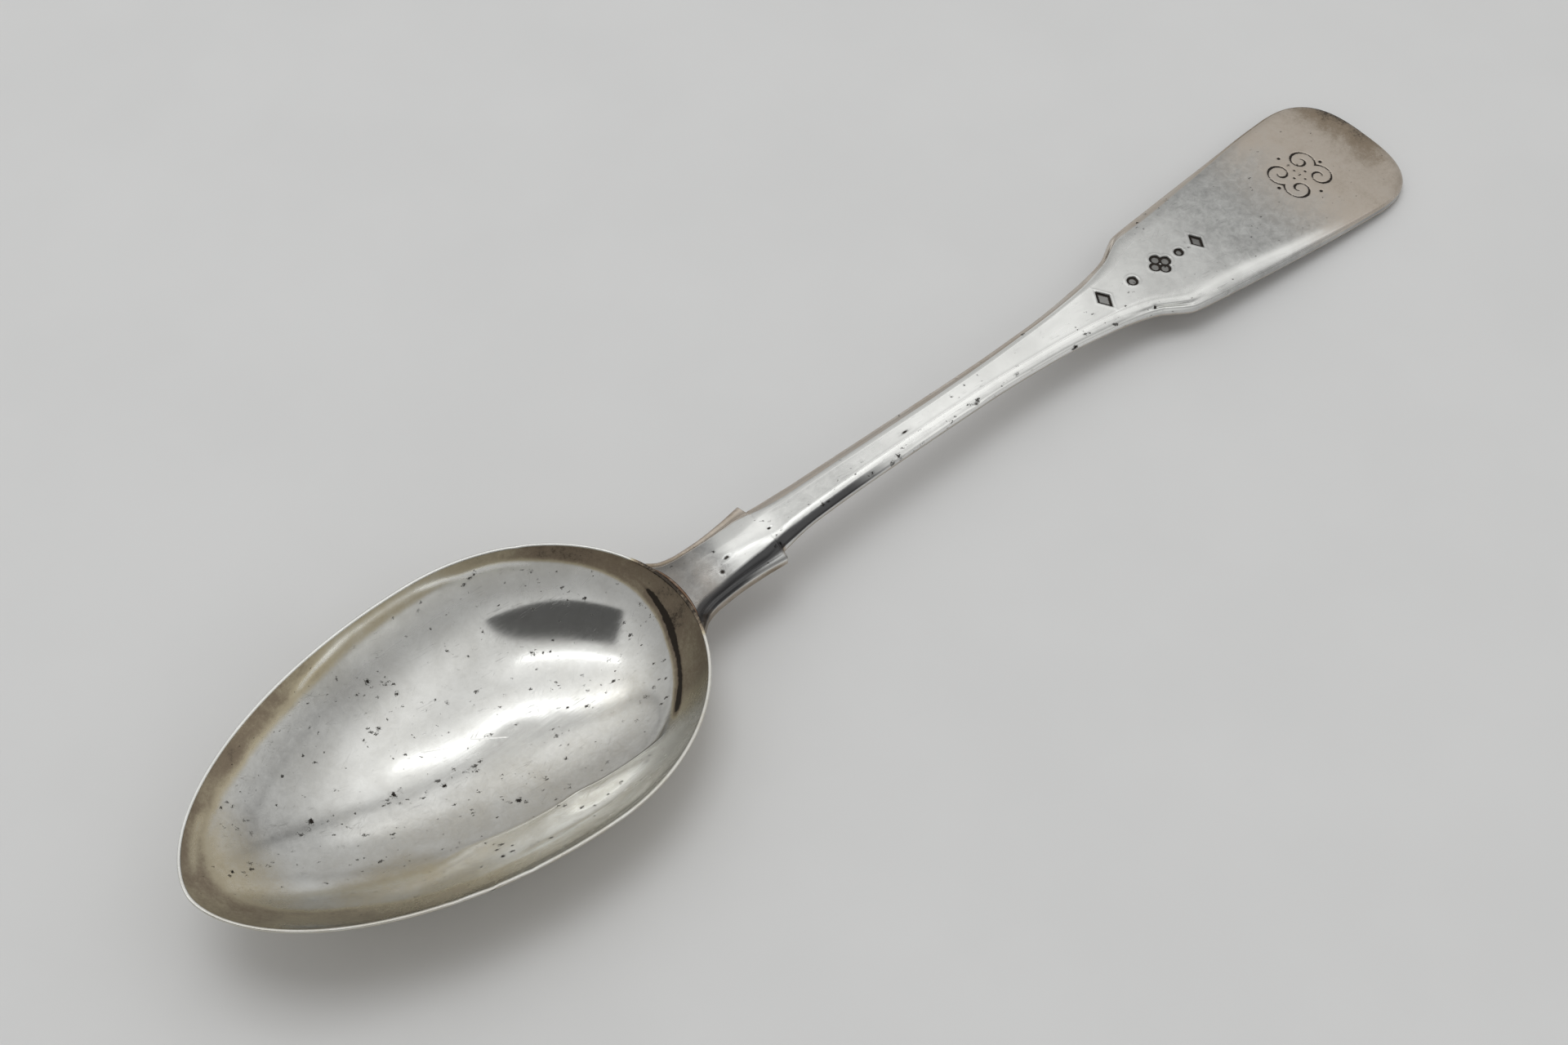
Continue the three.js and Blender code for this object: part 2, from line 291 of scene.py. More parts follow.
def curve_through(stations):
    """A smooth curve through (place, size) stations that never swings past them."""
    places, sizes = np.array(stations, float).T
    slopes = np.diff(sizes) / np.diff(places)
    before = np.concatenate([slopes[:1], slopes])
    after = np.concatenate([slopes, slopes[-1:]])
    same_way = before * after > 0
    tangents = np.where(same_way, 2 * before * after / np.where(same_way, before + after, 1), 0)

    def value(place):
        at = np.clip(place, places[0], places[-1])
        i = np.clip(np.searchsorted(places, at, side="right") - 1, 0, len(places) - 2)
        span = places[i + 1] - places[i]
        u = (at - places[i]) / span
        bend = u * (1 - u) * span * ((1 - u) * tangents[i] - u * tangents[i + 1])
        return mix(sizes[i], sizes[i + 1], u * u * (3 - 2 * u)) + bend

    return value


def ripple(points, wavelength, seed):
    """Seeded smooth noise, from about -1 to 1, at each of the points in millimetres."""
    shift = RIPPLE_SHIFT * seed
    flat = points.reshape(-1, 3) / wavelength
    values = [noise.noise(Vector(p) + shift) for p in flat]
    return np.array(values).reshape(points.shape[:-1])


def worn_sum(amounts, areas):
    """The sum of some areas of wear, each by its amount."""
    return sum(amount * areas[name] for name, amount in amounts.items())


# Bowl surfaces
def rim_height(from_tip):
    """Height of the bowl's rim at a distance from the tip."""
    t = from_tip / BOWL_LENGTH
    return mix(RIM_HEIGHT_AT_TIP, RIM_HEIGHT_AT_HEEL, t) - RIM_SAG * 4 * t * (1 - t)


def wall_lift(share, turn):
    """How far up from the floor to the rim the dish has climbed at a share of the way out."""
    climb = np.maximum(0, share - WORN_FLAT_SHARE) / (1 - WORN_FLAT_SHARE)
    steep = mix(STEEP_SHARE_AT_TIP, STEEP_SHARE_AT_HEEL, (1 + np.cos(turn)) / 2)
    return (1 - steep) * climb ** 2 + steep * climb ** WALL_POWER


def bowl_point(share, turn, inset, floor, lip_drop=0.0):
    """A point of a bowl surface that lies inset from the outer rim and floor above the table."""
    cosine, sine = np.cos(turn), np.sin(turn)
    towards_heel = cosine > 0
    reach = np.where(towards_heel, BOWL_LENGTH - WIDEST_FROM_TIP, WIDEST_FROM_TIP) - inset
    across = np.sign(sine) * np.abs(sine) ** np.where(towards_heel, 1, TIP_SINE_POWER)
    rim_from_tip = WIDEST_FROM_TIP + reach * cosine
    top = rim_height(rim_from_tip) - lip_drop
    x = mix(WIDEST_FROM_TIP, rim_from_tip, share) + TIP_X
    y = share * across * (BOWL_HALF_WIDTH - inset)
    return np.stack([x, y, mix(floor, top, wall_lift(share, turn))], -1)


def heel_surface_height(from_tip, y, margin):
    """Height of the bowl's outside at its heel, grown by a margin, at a spot. It is infinite past the rim."""
    along = (from_tip - WIDEST_FROM_TIP) / (BOWL_LENGTH - WIDEST_FROM_TIP + margin)
    across = y / (BOWL_HALF_WIDTH + margin)
    share = np.hypot(along, across)
    turn = np.arctan2(across, along)
    rim_from_tip = WIDEST_FROM_TIP + (BOWL_LENGTH - WIDEST_FROM_TIP + margin) * np.cos(turn)
    height = mix(-margin, rim_height(rim_from_tip), wall_lift(np.minimum(share, 1), turn))
    return np.where(share < 1, height, np.inf)


def heel_place(y, z, margin):
    """Distance from the tip at which the bowl's outside, grown by a margin, has a height at a spot across."""
    low = np.full(y.shape, WIDEST_FROM_TIP)
    high = np.full(y.shape, BOWL_LENGTH + margin)
    for _ in range(HALVINGS):
        middle = (low + high) / 2
        below = heel_surface_height(middle, y, margin) < z
        low = np.where(below, middle, low)
        high = np.where(below, high, middle)
    return high


def heel_normal(s, y, margin):
    """The way out of the bowl's heel at each spot."""
    here = heel_surface_height(s, y, margin)
    slope_s = (here - heel_surface_height(s - SLOPE_STEP, y, margin)) / SLOPE_STEP
    rise = heel_surface_height(s, y + SLOPE_STEP, margin) - heel_surface_height(s, y - SLOPE_STEP, margin)
    way = np.stack([slope_s, rise / (2 * SLOPE_STEP), np.full(s.shape, -1.0)], -1)
    return way / np.linalg.norm(way, axis=-1, keepdims=True)


def under_neck(s, y):
    """1 on the stretch of the rim that the neck covers and 0 well beside it."""
    return smooth(*UNDER_NECK_START, s) * smooth(*UNDER_NECK_EDGE, np.abs(y))


# Handle sections
neck_half_width = curve_through(NECK_HALF_WIDTH)
stem_half_width = curve_through(STEM_HALF_WIDTH)
top_height = curve_through(TOP_HEIGHT)
thickness = curve_through(THICKNESS)
top_crown = curve_through(TOP_CROWN)
flat_share = curve_through(FLAT_SHARE)
bevel_drop = curve_through(BEVEL_DROP)
side_height = curve_through(SIDE_HEIGHT)
flat_back_share = curve_through(FLAT_BACK_SHARE)
bevel_bulge = curve_through(BEVEL_BULGE)
corner_reach = curve_through(CORNER_REACH)


def half_width(s):
    """Half the handle's width, with the spurs' step at the notch."""
    step = smooth(NOTCH - NOTCH_BLEND, NOTCH + NOTCH_BLEND, s)
    return mix(neck_half_width(s), stem_half_width(s), step)


def flat_half_width(s):
    """Half the width of the flat on top, which runs past the notch without a step."""
    step = smooth(*NOTCH_FLAT_BLEND, s)
    return mix(neck_half_width(s), stem_half_width(s), step) * flat_share(s)


def back_height(s):
    """Height of the middle of the handle's back."""
    return np.maximum(0, top_height(s) - thickness(s))


def corner_curve(before, corner, after, t):
    """A round corner: the curve from before to after that leans towards the corner."""
    return (1 - t) ** 2 * before + 2 * t * (1 - t) * corner + t ** 2 * after


def half_section(s):
    """Half-width and height of each column of half a section. s has a row for each ring."""
    zones = [s[:, a:b] for a, b in zip(ZONE_STARTS[:-1], ZONE_STARTS[1:])]
    parts = []
    for zone, at in enumerate(zones):
        half, flat = half_width(at), flat_half_width(at)
        top, edge = top_height(at), top_height(at) - bevel_drop(at)
        foot = edge - side_height(at)
        bevel_length = np.hypot(half - flat, top - edge)
        reach = np.minimum(EDGE_REACH, EDGE_BEVEL_SHARE * bevel_length)
        edge_lean = reach / bevel_length
        lean = np.minimum(corner_reach(at) / bevel_length, CORNER_BEVEL_SHARE)
        ridge = RIDGE_HEIGHT * between(RIDGE_ENDS, at)
        start = flat - np.minimum(corner_reach(at), CORNER_FLAT_SHARE * flat)
        corner_start = np.stack([start, top + ridge + top_crown(at) * (1 - (start / flat) ** 2)])
        bevel_start = np.stack([mix(flat, half, lean), mix(top, edge, lean)])
        bevel_end = np.stack([mix(half, flat, edge_lean), mix(edge, top, edge_lean)])
        side_start = np.stack([half, edge - np.minimum(reach, EDGE_SIDE_SHARE * side_height(at))])
        if zone == TOP_ZONE:
            y = TOP_SHARES * start
            raised = ridge * bump_at(y, start, RIDGE_REACH)
            parts.append(np.stack([y, top + raised + top_crown(at) * (1 - (y / flat) ** 2)]))
        elif zone == FLAT_CORNER_ZONE:
            parts.append(corner_curve(corner_start, np.stack([flat, top]), bevel_start, CORNER_SHARES))
        elif zone == BEVEL_ZONE:
            swell = bevel_bulge(at) * (top - edge)
            middle = (bevel_start + bevel_end) / 2 + np.stack([swell, swell])
            parts.append(corner_curve(bevel_start, middle, bevel_end, BEVEL_SHARES))
        elif zone == EDGE_ZONE:
            parts.append(corner_curve(bevel_end, np.stack([half, edge]), side_start, CORNER_SHARES))
        elif zone == SIDE_ZONE:
            parts.append(np.stack([half, mix(side_start[1], foot, SIDE_SHARES)]))
        else:
            power = mix(ROUND_BACK_POWER, FLAT_BACK_POWER, flat_back_share(at))
            y = half * np.cos(BELLY_TURNS).clip(0) ** power
            parts.append(np.stack([y, mix(foot, back_height(at), np.sin(BELLY_TURNS) ** power)]))
    return np.concatenate(parts, axis=2)


def neck_starts(margin):
    """Where each column of half a section meets the bowl's outside grown by a margin."""
    low = np.full(HALF_COLUMNS, float(NECK_HALF_WIDTH[0][0]))
    high = np.full(HALF_COLUMNS, LAST_NECK_START)
    for _ in range(HALVINGS):
        middle = (low + high) / 2
        y, z = half_section(np.broadcast_to(middle, (1, HALF_COLUMNS)))[:, 0]
        inside = z > heel_surface_height(middle, y, margin)
        low = np.where(inside, middle, low)
        high = np.where(inside, high, middle)
    return high


# Struck and engraved work
def punch_distance(shape, along, across, size):
    """How far a spot lies outside the outline of one struck punch, negative inside it."""
    if shape == "lozenge":
        return (np.abs(along) * LOZENGE_SLOPES[0] + np.abs(across) * LOZENGE_SLOPES[1] - size) * LOZENGE_SCALE
    if shape == "pellet":
        return np.hypot(along, across) - size * PELLET_SHARE
    step = size * LOBE_PLACE
    lobes = [(step, 0), (-step, 0), (0, step), (0, -step)]
    return np.minimum.reduce([np.hypot(along - x, across - y) for x, y in lobes]) - size * LOBE_SHARE


def struck_outside(s, y):
    """How far each spot of the face lies outside the nearest struck punch, negative inside it."""
    return np.minimum.reduce([punch_distance(shape, s - place, y, size) for shape, place, size in PUNCHES])


def engraved_depth(s, y):
    """Depth of the engraved ornament, four mirrored scrolls and their pellets, as a share of the deepest."""
    depth = np.zeros_like(s)
    near = np.hypot(s - ORNAMENT_PLACE, y) < ORNAMENT_REACH
    along, across = np.abs(s[near] - ORNAMENT_PLACE), np.abs(y[near])
    share = np.linspace(0, 1, SCROLL_STEPS)
    turns = math.atan2(-SCROLL_CENTRE[1], -SCROLL_CENTRE[0]) + 2 * math.pi * SCROLL_TURNS * share
    radii = mix(math.hypot(*SCROLL_CENTRE), SCROLL_EYE, share ** SCROLL_TIGHTENING)
    scroll = np.array(SCROLL_CENTRE) + np.stack([radii * np.cos(turns), radii * np.sin(turns)], -1)
    spots = list(zip(scroll, mix(*ENGRAVED_LINE, np.sin(turns) ** 2))) + ENGRAVED_PELLETS
    outside = np.full(along.shape, np.inf)
    for (x, z), radius in spots:
        outside = np.minimum(outside, np.hypot(along - x, across - z) - radius)
    depth[near] = smooth(ENGRAVED_SOFTNESS, -ENGRAVED_SOFTNESS, outside)
    return depth


# Mesh helpers
def grid_faces(rows, columns):
    """Quads over a grid whose rows close on themselves."""
    i, j = np.meshgrid(np.arange(rows - 1), np.arange(columns), indexing="ij")
    k = (j + 1) % columns
    quads = [i * columns + j, (i + 1) * columns + j, (i + 1) * columns + k, i * columns + k]
    return np.stack(quads, -1).reshape(-1, 4).tolist()


def shell_faces(rows, columns):
    """Faces of two equal grids, one over the other, closed round their edges."""
    count = rows * columns
    faces = []
    for i in range(rows - 1):
        for j in range(columns - 1):
            a = i * columns + j
            faces.append([a, a + 1, a + columns + 1, a + columns])
            faces.append([count + a, count + a + columns, count + a + columns + 1, count + a + 1])
    border = list(range(columns))
    border += [i * columns + columns - 1 for i in range(1, rows)]
    border += [(rows - 1) * columns + j for j in range(columns - 2, -1, -1)]
    border += [i * columns for i in range(rows - 2, 0, -1)]
    for a, b in zip(border, border[1:] + border[:1]):
        faces.append([a, b, count + b, count + a])
    return faces


def round_edge(distance):
    """A quarter circle: 0 at an edge and 1 from a distance of 1 on."""
    return np.sqrt(np.maximum(0, 1 - np.maximum(0, 1 - distance) ** 2))


def drop_shell(margin, depth, spread):
    """A closed rounded tongue that follows the bowl's heel: its back lies a margin off the bowl."""
    half = DROP_HALF_WIDTH + spread
    tip = DROP_TIP_FROM_TIP - spread
    shares = np.linspace(0, 1, DROP_ROWS) ** DROP_CROWDING
    share, across = np.meshgrid(shares, np.linspace(-1, 1, DROP_COLUMNS), indexing="ij")
    s = mix(tip, heel_place(half * across, DROP_TOP_HEIGHT, margin), share)
    y = across * half * round_edge((s - tip) / half)
    back = np.stack([s, y, heel_surface_height(s, y, margin)], -1)
    edge = np.sqrt(1 - np.abs(across) ** DROP_EDGE_POWER) * round_edge((s - tip) / DROP_TIP_ROUND)
    front = back + depth * edge[..., None] * heel_normal(s, y, margin)
    points = np.concatenate([back, front]).reshape(-1, 3)
    points[:, 2] = np.minimum(points[:, 2], DROP_TOP_HEIGHT)
    points[:, 0] += TIP_X
    return points, shell_faces(DROP_ROWS, DROP_COLUMNS)


def weld(points, faces, marks):
    """Joins points that share a place and drops the faces that vanish with them."""
    places = np.round(points / WELD_TOLERANCE)
    _, first, inverse = np.unique(places, axis=0, return_index=True, return_inverse=True)
    inverse = inverse.reshape(-1)
    kept = []
    for face in faces:
        corners = list(dict.fromkeys(int(inverse[c]) for c in face))
        if len(corners) > 2:
            kept.append(corners)
    return points[first], kept, {name: values[first] for name, values in marks.items()}


def add_piece(name, points, faces, marks, material, node):
    """Makes a smooth mesh piece from millimetres and lets it stand for a node of the frame."""
    flat_marks = {mark: values.reshape(-1) for mark, values in marks.items()}
    points, faces, flat_marks = weld(points.reshape(-1, 3), faces, flat_marks)
    mesh = bpy.data.meshes.new(name)
    mesh.from_pydata((points * MM).tolist(), [], faces)
    for mark, values in flat_marks.items():
        mesh.attributes.new(mark, "FLOAT", "POINT").data.foreach_set("value", values.astype(np.float32))
    work = bmesh.new()
    work.from_mesh(mesh)
    bmesh.ops.recalc_face_normals(work, faces=work.faces)
    work.to_mesh(mesh)
    work.free()
    mesh.shade_smooth()
    mesh.materials.append(material)
    piece = bpy.data.objects.new(name, mesh)
    bpy.context.scene.collection.objects.link(piece)
    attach(piece, "root")
    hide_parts(node)


# Material helpers
class Wiring:
    """Adds nodes to one node tree and links their sockets."""

    def __init__(self, tree):
        self.tree = tree
        self.tree.nodes.clear()

    def node(self, kind, inputs=None, **settings):
        """A node of a kind, with its settings and the values or links of its inputs."""
        made = self.tree.nodes.new("ShaderNode" + kind)
        for name, value in settings.items():
            setattr(made, name, value)
        for name, value in (inputs or {}).items():
            self.feed(made.inputs[name], value)
        return made

    def feed(self, socket, value):
        """Links a socket to another, or sets its value."""
        if isinstance(value, bpy.types.NodeSocket):
            self.tree.links.new(value, socket)
        else:
            socket.default_value = value

    def math(self, operation, a, b=0.0, clamp=False):
        """The output of one sum on two values."""
        return self.node("Math", {0: a, 1: b}, operation=operation, use_clamp=clamp).outputs[0]

    def plus(self, a, b, clamp=False):
        """a and b added."""
        return self.math("ADD", a, b, clamp)

    def minus(self, a, b, clamp=False):
        """b taken from a."""
        return self.math("SUBTRACT", a, b, clamp)

    def times(self, a, b):
        """a multiplied by b."""
        return self.math("MULTIPLY", a, b)

    def over(self, a, b):
        """a divided by b."""
        return self.math("DIVIDE", a, b)

    def larger(self, a, b):
        """The larger of a and b."""
        return self.math("MAXIMUM", a, b)

    def unsigned(self, value):
        """A value without its sign."""
        return self.math("ABSOLUTE", value)

    def swing(self, value, amount):
        """Noise round one half, carried to noise round zero and scaled."""
        return self.times(self.minus(value, 0.5), amount)

    def scaled(self, place, amounts):
        """A place drawn out by an amount along each axis."""
        return self.node("VectorMath", {0: place, 1: amounts}, operation="MULTIPLY").outputs[0]

    def turned(self, place, angle):
        """A place turned about the upright axis."""
        return self.node("VectorRotate", {"Vector": place, "Angle": angle}, rotation_type="Z_AXIS").outputs[0]

    def ramp(self, value, low, high, to_low=0.0, to_high=1.0):
        """A value carried from one range to another, eased and held at both ends."""
        ends = {"Value": value, "From Min": low, "From Max": high, "To Min": to_low, "To Max": to_high}
        return self.node("MapRange", ends, interpolation_type="SMOOTHSTEP").outputs[0]

    def blend(self, share, a, b):
        """A colour a share of the way from a to b."""
        made = self.node("Mix", data_type="RGBA")
        # Inputs 0, 6 and 7 are the share and the two colours
        for index, value in ((0, share), (6, a), (7, b)):
            self.feed(made.inputs[index], value)
        return made.outputs[2]

    def tone_curve(self, value, stops):
        """A warm grey tone that runs through (place, tone) stops."""
        made = self.node("ValToRGB", {0: value})
        elements = made.color_ramp.elements
        while len(elements) < len(stops):
            elements.new(0.5)
        for element, (place, tone) in zip(elements, stops):
            element.position = place
            element.color = (*(tone * share for share in WARM_GREY), 1)
        return made.outputs[0]

    def mark(self, name):
        """A value that the mesh carries at each point."""
        return self.node("Attribute", attribute_name=name).outputs["Fac"]

    def noise(self, place, scale, detail=3.0, roughness=0.55, distortion=0.0):
        """Soft noise round one half."""
        inputs = {"Vector": place, "Scale": scale, "Detail": detail, "Roughness": roughness,
                  "Distortion": distortion}
        return self.node("TexNoise", inputs).outputs["Fac"]

    def millimetres(self):
        """The place of each point of a piece in millimetres."""
        metres = self.node("TexCoord").outputs["Object"]
        return self.node("VectorMath", {0: metres, "Scale": 1 / MM}, operation="SCALE").outputs[0]


def start_material(name):
    """A new material and the wiring of its empty node tree."""
    material = bpy.data.materials.new(name)
    material.use_nodes = True
    return material, Wiring(material.node_tree)


def opaque(colour):
    """A colour with full alpha."""
    return (*colour, 1)


def pit_mask(wiring, place, cells_per_mm, rarity, radius, density):
    """Small irregular pits: round spots in a few of the cells of a scattered pattern."""
    cells = wiring.node("TexVoronoi", {"Vector": place, "Scale": cells_per_mm})
    lot = wiring.node("SeparateColor", {0: cells.outputs["Color"]}).outputs[0]
    grown = wiring.times(wiring.ramp(lot, rarity, 1.0, 0.0, radius * cells_per_mm), density)
    fray = wiring.ramp(wiring.noise(place, *PIT_FRAY), *PIT_FRAY_RANGE)
    left = wiring.minus(grown, wiring.times(cells.outputs["Distance"], fray))
    return wiring.math("MULTIPLY", left, PIT_SHARPNESS, clamp=True)


def all_pits(wiring, place):
    """Coarse pits and raked fine ones, as crowded as the mesh marks them."""
    jitter = wiring.node("TexNoise", {"Vector": place, **PIT_JITTER}).outputs["Color"]
    shift = {0: jitter, 1: PIT_SHAKE, 2: place}
    shaken = wiring.node("VectorMath", shift, operation="MULTIPLY_ADD").outputs[0]
    crowd = wiring.ramp(wiring.noise(place, *PIT_CROWD), *PIT_CROWD_RANGE)
    density = wiring.times(wiring.mark("pitting"), crowd)
    cluster = wiring.ramp(wiring.noise(place, *PIT_CLUSTER), *PIT_CLUSTER_RANGE)
    raked = wiring.scaled(wiring.turned(shaken, PIT_RAKE_ANGLE), PIT_RAKE)
    coarse = pit_mask(wiring, shaken, *COARSE_PITS, density)
    fine = pit_mask(wiring, raked, *FINE_PITS, wiring.times(density, cluster))
    return wiring.larger(coarse, wiring.times(fine, FINE_PIT_SHARE))


def scratch_mask(wiring, place, centre, angle, length):
    """One long scratch: a thin line round a centre that fades out towards its ends."""
    shifted = wiring.node("VectorMath", {0: place, 1: centre}, operation="SUBTRACT").outputs[0]
    axes = wiring.node("SeparateXYZ", {0: wiring.turned(shifted, -angle)})
    fade = [share * length for share in SCRATCH_FADE]
    ends = wiring.ramp(wiring.unsigned(axes.outputs[0]), *fade, 1.0, 0.0)
    width = wiring.ramp(wiring.unsigned(axes.outputs[1]), *SCRATCH_WIDTH, 1.0, 0.0)
    return wiring.times(ends, width)


def hairline_mask(wiring, place, angle, spread):
    """Long fine scratches that run at an angle to the spoon's length, in some places only."""
    turned = wiring.turned(place, angle)
    drawn = wiring.scaled(turned, HAIRLINE_STRETCH)
    wander = wiring.unsigned(wiring.minus(wiring.noise(drawn, *HAIRLINE_WANDER), 0.5))
    here = wiring.ramp(wiring.noise(turned, *HAIRLINE_PLACES), 0.5, 0.5 + spread)
    return wiring.times(wiring.ramp(wander, 0.0, HAIRLINE_WIDTH, 1.0, 0.0), here)


def silver_material(name, finish, film):
    """Worn silver: brown tarnish where the mesh marks it, dark pits, cloudy gloss and fine rubbed lines."""
    material, wiring = start_material(name)
    place = wiring.millimetres()
    cloud = wiring.noise(place, *CLOUD)
    streak = wiring.noise(wiring.scaled(place, STREAK_STRETCH), *STREAK)
    pits = all_pits(wiring, place)
    scratches = 0.0
    for spot, angle, length in SCRATCHES:
        centre = (spot[0] + TIP_X, spot[1], 0)
        scratches = wiring.larger(scratches, scratch_mask(wiring, place, centre, angle, length))
    hairlines = wiring.larger(*(hairline_mask(wiring, place, angle, spread) for angle, spread in HAIRLINES))
    patchy = wiring.times(wiring.mark("tarnish"), wiring.ramp(cloud, *PATCH_RANGE))
    grain = wiring.times(wiring.noise(place, *GRAIN), GRAIN_SHARE)
    rough_grain = wiring.plus(grain, wiring.times(wiring.noise(place, *FLECK), FLECK_SHARE))
    tarnish = wiring.plus(patchy, wiring.swing(rough_grain, wiring.times(patchy, SPECKLE)), clamp=True)
    dull = wiring.mark("dull")
    worn = wiring.swing(wiring.noise(place, *SCUFF), SCUFF_VEIL)
    veil = wiring.plus(dull, wiring.ramp(cloud, *CLOUD_VEIL))
    veil = wiring.plus(veil, wiring.times(worn, dull))
    veil = wiring.plus(veil, wiring.times(hairlines, HAIRLINE_VEIL), clamp=True)
    veil = wiring.minus(veil, scratches, clamp=True)
    clean = wiring.blend(veil, opaque(finish.silver), opaque(finish.silver_dull))
    warm = wiring.blend(wiring.ramp(tarnish, *FILM_STEP), clean, opaque(film))
    brown = wiring.blend(wiring.ramp(tarnish, *BROWN_STEP), warm, opaque(finish.tarnish_brown))
    # Painted shade: the mark darkens the near bevels and the neck's root for their dark reflection
    with_painted_shade = wiring.blend(wiring.mark("painted_shade"), brown, opaque(finish.painted_shade))
    black = wiring.larger(wiring.ramp(tarnish, *BLACK_STEP), pits)
    black = wiring.larger(black, wiring.ramp(wiring.mark("cavity"), *CAVITY_STEP))
    colour = wiring.blend(black, with_painted_shade, opaque(finish.tarnish_black))
    uneven = wiring.plus(wiring.swing(cloud, CLOUD_ROUGHNESS), wiring.swing(streak, STREAK_ROUGHNESS))
    rough = wiring.plus(wiring.mark("satin"), uneven)
    rough = wiring.plus(rough, wiring.times(hairlines, HAIRLINE_ROUGHNESS))
    rough = wiring.plus(rough, wiring.times(scratches, SCRATCH_ROUGHNESS))
    rough = wiring.plus(rough, wiring.times(tarnish, TARNISH_ROUGHNESS))
    rough = wiring.larger(wiring.plus(rough, wiring.times(pits, PIT_ROUGHNESS), clamp=True), LEAST_ROUGHNESS)
    lines = wiring.node("Bump", {"Height": streak, **STREAK_BUMP})
    hollows = wiring.node("Bump", {"Height": pits, "Normal": lines.outputs[0], **PIT_BUMP}, invert=True)
    surface = {"Base Color": colour, "Roughness": rough, "Normal": hollows.outputs[0]}
    shader = wiring.node("BsdfPrincipled", surface)
    shader.inputs["Metallic"].default_value = 1.0
    wiring.node("OutputMaterial", {"Surface": shader.outputs[0]})
    return material


def solder_material(name, finish):
    """Hard solder, rubbed grey on top and tarnished coppery brown lower down."""
    material, wiring = start_material(name)
    grain = wiring.noise(wiring.millimetres(), *SOLDER_GRAIN)
    worn = wiring.plus(wiring.mark("satin"), wiring.swing(grain, SOLDER_WORN_SWING))
    rubbed = wiring.ramp(worn, *SOLDER_WORN_STEP)
    colour = wiring.blend(rubbed, opaque(finish.solder), opaque(finish.tarnish_pale))
    lumps = wiring.node("Bump", {"Height": grain, **SOLDER_BUMP})
    shader = wiring.node("BsdfPrincipled", {"Base Color": colour, "Normal": lumps.outputs[0]})
    shader.inputs["Metallic"].default_value = 1.0
    shader.inputs["Roughness"].default_value = SOLDER_ROUGHNESS
    wiring.node("OutputMaterial", {"Surface": shader.outputs[0]})
    return material


# Settings that a user would change
def length_setting(name, description, default, least, most):
    """A small length in metres."""
    return FloatProperty(name=name, description=description, default=default, min=least, max=most,
                         unit="LENGTH", subtype="DISTANCE")


def colour_setting(name, description, default):
    """A colour without alpha."""
    return FloatVectorProperty(name=name, description=description, default=default, size=3, min=0, max=1,
                               subtype="COLOR")


def place_setting(name, description, default):
    """A place in the scene, in metres."""
    return FloatVectorProperty(name=name, description=description, default=default, size=3,
                               unit="LENGTH", subtype="TRANSLATION")


def number_setting(name, description, default, least, most):
    """A plain number."""
    return FloatProperty(name=name, description=description, default=default, min=least, max=most)


class TablespoonShape(bpy.types.PropertyGroup):
    """Sizes of the small forms that a user would change."""

    rim_width: length_setting("Rim Width", "Thickness of the bowl's rounded rim", 0.0005, 0.0004, 0.0016)
    floor_thickness: length_setting(
        "Floor Thickness", "Thickness of the metal in the middle of the bowl", 0.001, 0.0004, 0.002)
    waviness: length_setting(
        "Waviness", "Depth of the soft unevenness left by hand work and wear", 0.00002, 0, 0.0002)
    bowl_segments: IntProperty(
        name="Bowl Segments", description="Steps round the bowl", default=320, min=64, max=512)


class TablespoonFinish(bpy.types.PropertyGroup):
    """Colours of the metal."""

    silver: colour_setting("Silver", "Colour of rubbed clean silver", (0.9, 0.905, 0.885))
    silver_dull: colour_setting("Dull Silver", "Colour of silver in its cloudy patches", (0.36, 0.362, 0.356))
    tarnish_pale: colour_setting(
        "Pale Tarnish", "Colour of the first warm film of tarnish", (0.56, 0.5, 0.435))
    tarnish_gold: colour_setting(
        "Golden Tarnish", "Colour of the first warm film of tarnish inside the bowl", (0.56, 0.5, 0.37))
    tarnish_brown: colour_setting(
        "Brown Tarnish", "Colour of settled tarnish in the hollows", (0.3, 0.245, 0.185))
    tarnish_black: colour_setting("Black Tarnish", "Colour of pits and struck recesses", (0.035, 0.03, 0.026))
    # Painted shade: colour of the dark reflection painted on the near bevels and the neck's root
    painted_shade: colour_setting("Painted Shade", "Colour of the dark grey bloom on the bevels", (0.045, 0.045, 0.047))
    solder: colour_setting("Solder", "Colour of tarnished hard solder", (0.24, 0.15, 0.1))


class TablespoonStage(bpy.types.PropertyGroup):
    """Floor, lights and camera."""

    floor: colour_setting("Floor", "Colour of the pale floor", (0.75, 0.75, 0.748))
    ambient: number_setting("Ambient", "Brightness of the room round the spoon", 1.33, 0, 2)
    strip_brightness: number_setting("Strip Lights", "Brightness of the strip lights overhead", 1.7, 0, 20)
    panel_brightness: number_setting(
        "Soft Panel", "Brightness of the soft panel that shades the floor", 2.5, 0, 20)
    camera_place: place_setting("Camera Place", "Where the camera stands", (-0.1326, -0.1374, 0.277))
    camera_aim: place_setting("Camera Aim", "Where the camera looks", (-0.01095, 0.00448, 0))
    lens: number_setting("Lens", "Focal length of the camera in millimetres", 52.5, 10, 200)


